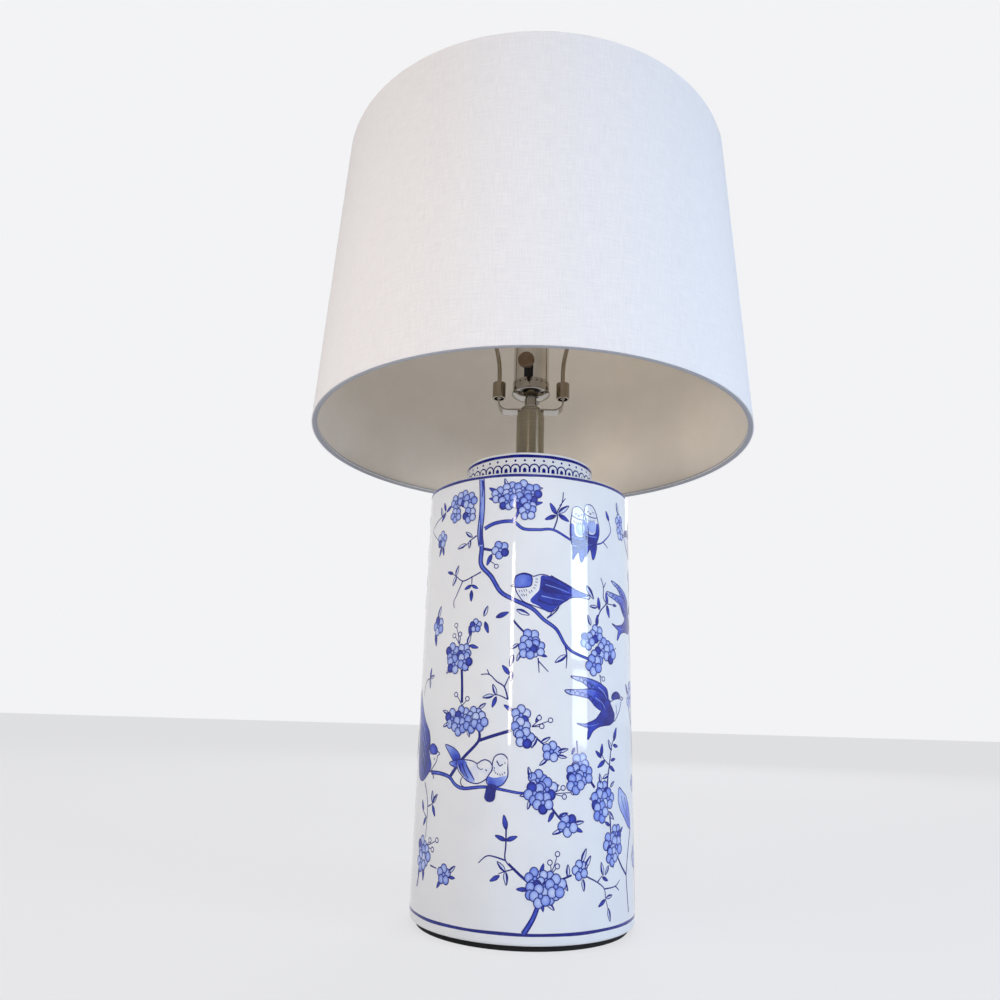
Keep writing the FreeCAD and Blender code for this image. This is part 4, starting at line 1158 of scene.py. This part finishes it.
def unrolledMap(piece, radius):
    # arc and height in metres, so that the weave follows the cloth
    layer = piece.data.uv_layers.new(name="unrolled")
    for polygon in piece.data.polygons:
        angles = []
        for corner in polygon.loop_indices:
            place = piece.data.vertices[piece.data.loops[corner].vertex_index].co
            angles.append((corner, math.atan2(place.x, -place.y), place.z))
        wraps = max(a for _, a, _ in angles) - min(a for _, a, _ in angles) > math.pi
        for corner, angle, height in angles:
            if wraps and angle < 0:
                angle += 2 * math.pi
            layer.data[corner].uv = (angle * radius * mm, height)


def makeFabric():
    s = shade
    corners = [(s["bottomRadius"], s["bottom"], 0), (s["topRadius"], s["top"], 0),
               (s["topRadius"] - s["fabric"], s["top"], 0),
               (s["bottomRadius"] - s["fabric"], s["bottom"], 0)]
    piece = spinProfile("linen_cover", corners, s["steps"], closed=True)
    # the lap where the cloth's ends meet stands a little proud
    for vertex in piece.data.vertices:
        angle = math.degrees(math.atan2(vertex.co.x, -vertex.co.y))
        arc = math.radians(angle - s["seamAngle"]) * s["bottomRadius"]
        radius = math.hypot(vertex.co.x, vertex.co.y)
        share = (vertex.co.z / mm - s["bottom"]) / (s["top"] - s["bottom"])
        outside = s["bottomRadius"] + (s["topRadius"] - s["bottomRadius"]) * share
        if 0 <= arc <= s["seamLap"] and radius / mm > outside - s["fabric"] / 2:
            scale = 1 + s["seamHeight"] * mm / radius
            vertex.co.x *= scale
            vertex.co.y *= scale
    unrolledMap(piece, s["bottomRadius"])
    return piece


def makeHem(name, rim, inward, rimRadius):
    # the cotton tape turned over the wire: a soft round roll just inside the cloth's edge
    s = shade
    far = rim + inward * s["hemHeight"]
    outer = rimRadius + s["hemShow"]
    slope = (s["bottomRadius"] - s["topRadius"]) / (s["top"] - s["bottom"])
    drift = -slope * inward * s["hemHeight"]
    inner = outer - s["hemDepth"]
    tape = s["hemTape"]
    hollow = rim + inward * s["hemHollow"]
    corners = [(inner, far, s["innerEdgeRound"]), (inner, rim, s["hemRound"]),
               (outer, rim, s["hemRound"]), (outer + drift, far, s["edgeRound"]),
               (outer + drift - tape, far, 0), (outer - tape, hollow, s["edgeRound"]),
               (inner + tape, hollow, s["edgeRound"]), (inner + tape, far, 0)]
    piece = spinProfile(name, corners, s["steps"], closed=True)
    unrolledMap(piece, s["bottomRadius"])
    return piece


def makeShade():
    s = shade
    cover = makeFabric()
    dress(cover, linen, "shade", "linen", "shade_fabric")
    bottomHem = makeHem("bottom_hem_roll", bottomRim, 1, s["bottomRadius"])
    # both hem rolls take the greyed tape, and its grey is painted shade
    dress(bottomHem, hemTape, "shade", "linen", "shade_bottom_hem")
    topHem = makeHem("top_hem_roll", topRim, -1, s["topRadius"])
    dress(topHem, hemTape, "shade", "linen", "shade_top_hem")


makeShade()
print("shade made")


# floor, light and camera
stage = {
    "floorSize": 40.0,       # metres
    "floor": "#E9E9EC",
    "backdrop": "#F3F3F5",
    "evenShare": 0.7,        # how far the floor is lifted to the backdrop's white for the eye
    "ambient": "#DDDFE5",
    "ambientStrength": 0.52,
}


def raysThatSeeBackdrop(tree):
    # the eye, and what mirrors or passes on its look, so that metal and glass show the background too
    rays = addNode(tree, "ShaderNodeLightPath")
    direct = addNode(tree, "ShaderNodeMath", {"operation": "MAXIMUM"},
                     {0: rays.outputs["Is Camera Ray"], 1: rays.outputs["Is Glossy Ray"]})
    every = addNode(tree, "ShaderNodeMath", {"operation": "MAXIMUM"},
                    {0: direct.outputs["Value"], 1: rays.outputs["Is Transmission Ray"]})
    return every.outputs["Value"]


def makeStage():
    bpy.ops.object.select_all(action="DESELECT")
    bpy.ops.mesh.primitive_plane_add(size=stage["floorSize"], location=(0, 0, 0))
    floor = bpy.context.object
    floor.name = "floor"
    material, tree, shader = newMaterial("matt paper", stage["floor"], 0.9)
    even = addNode(tree, "ShaderNodeEmission",
                   {"Color": linear(stage["backdrop"]), "Strength": 1.0})
    share = addNode(tree, "ShaderNodeMath", {"operation": "MULTIPLY", 1: stage["evenShare"]},
                    {0: raysThatSeeBackdrop(tree)})
    mixed = addNode(tree, "ShaderNodeMixShader", {},
                    {0: share.outputs["Value"], 1: shader.outputs["BSDF"], 2: even.outputs["Emission"]})
    tree.links.new(mixed.outputs["Shader"], tree.nodes["Material Output"].inputs["Surface"])
    floor.data.materials.append(material)
    world = bpy.data.worlds.new("studio")
    bpy.context.scene.world = world
    world.use_nodes = True
    tree = world.node_tree
    tree.nodes.clear()
    output = addNode(tree, "ShaderNodeOutputWorld")
    ambient = addNode(tree, "ShaderNodeBackground",
                      {"Color": linear(stage["ambient"]), "Strength": stage["ambientStrength"]})
    backdrop = addNode(tree, "ShaderNodeBackground",
                       {"Color": linear(stage["backdrop"]), "Strength": 1.0})
    mixed = addNode(tree, "ShaderNodeMixShader", {},
                    {0: raysThatSeeBackdrop(tree), 1: ambient.outputs["Background"],
                     2: backdrop.outputs["Background"]})
    tree.links.new(mixed.outputs["Shader"], output.inputs["Surface"])


lamps = {
    # name: place, target, width and height in metres, watts, colour, spread in degrees
    # a broad cool box and a slender warm strip give the glaze its highlights, the rest is soft fill
    "cool softbox": ((1.41, -0.90, 0.585), (0.04, -0.08, 0.3), 0.58, 0.47, 4.3, "#D0EAFF", 120),
    "cool softbox below": ((1.41, -0.90, 0.18), (0.04, -0.08, 0.3), 0.50, 0.26, 1.0, "#DCE8FF", 100),
    "warm strip": ((-0.464, -1.727, 0.42), (0, -0.09, 0.26), 0.09, 0.78, 4.2, "#FFF4E2", 180),
    "soft front": ((0.5, -2.4, 1.6), (0, 0, 0.45), 1.6, 1.2, 2.3, "#F4F4FF", 180),
    "warm side": ((-1.7, -0.9, 2.0), (0, 0, 0.5), 1.2, 1.2, 8.0, "#FFEBC8", 180),
    "soft back": ((0.6, 2.4, 1.6), (0, 0, 0.45), 1.6, 1.2, 15, "#F8F8FF", 180),
    "low bounce": ((-0.9, -0.9, 0.16), (0, 0, 0.5), 0.5, 0.2, 0.8, "#FFF4E6", 80),
}


def makeLights():
    for name, (place, target, width, height, watts, colour, spread) in lamps.items():
        bpy.ops.object.select_all(action="DESELECT")
        bpy.ops.object.light_add(type="AREA", location=place)
        lamp = bpy.context.object
        lamp.name = name
        lamp.data.shape = "RECTANGLE"
        lamp.data.size = width
        lamp.data.size_y = height
        lamp.data.energy = watts
        lamp.data.color = linear(colour)[:3]
        lamp.data.spread = math.radians(spread)
        aim = Vector(target) - Vector(place)
        lamp.rotation_euler = aim.to_track_quat("-Z", "Y").to_euler()
        # the bounce only fills in, and the glaze doesn't mirror it
        lamp.visible_glossy = name != "low bounce"


camera = {
    "place": (0.0, -0.680, 0.1523),      # metres
    "pitch": 16.026,                     # degrees above level, then to the left, then leaning
    "yaw": 2.243,
    "roll": 1.66,
    "lens": 27.71,
    "sensor": 36.0,
}


def makeCamera():
    bpy.ops.object.select_all(action="DESELECT")
    bpy.ops.object.camera_add(location=camera["place"])
    eye = bpy.context.object
    eye.data.lens = camera["lens"]
    eye.data.sensor_width = camera["sensor"]
    eye.data.clip_start = 0.01
    turn = (Matrix.Rotation(math.radians(camera["yaw"]), 4, "Z")
            @ Matrix.Rotation(math.radians(90 + camera["pitch"]), 4, "X")
            @ Matrix.Rotation(math.radians(camera["roll"]), 4, "Z"))
    eye.matrix_world = Matrix.Translation(camera["place"]) @ turn
    bpy.context.scene.camera = eye


makeStage()
makeLights()
makeCamera()
bpy.context.scene.view_settings.view_transform = "Standard"
print("stage, lights and camera set")
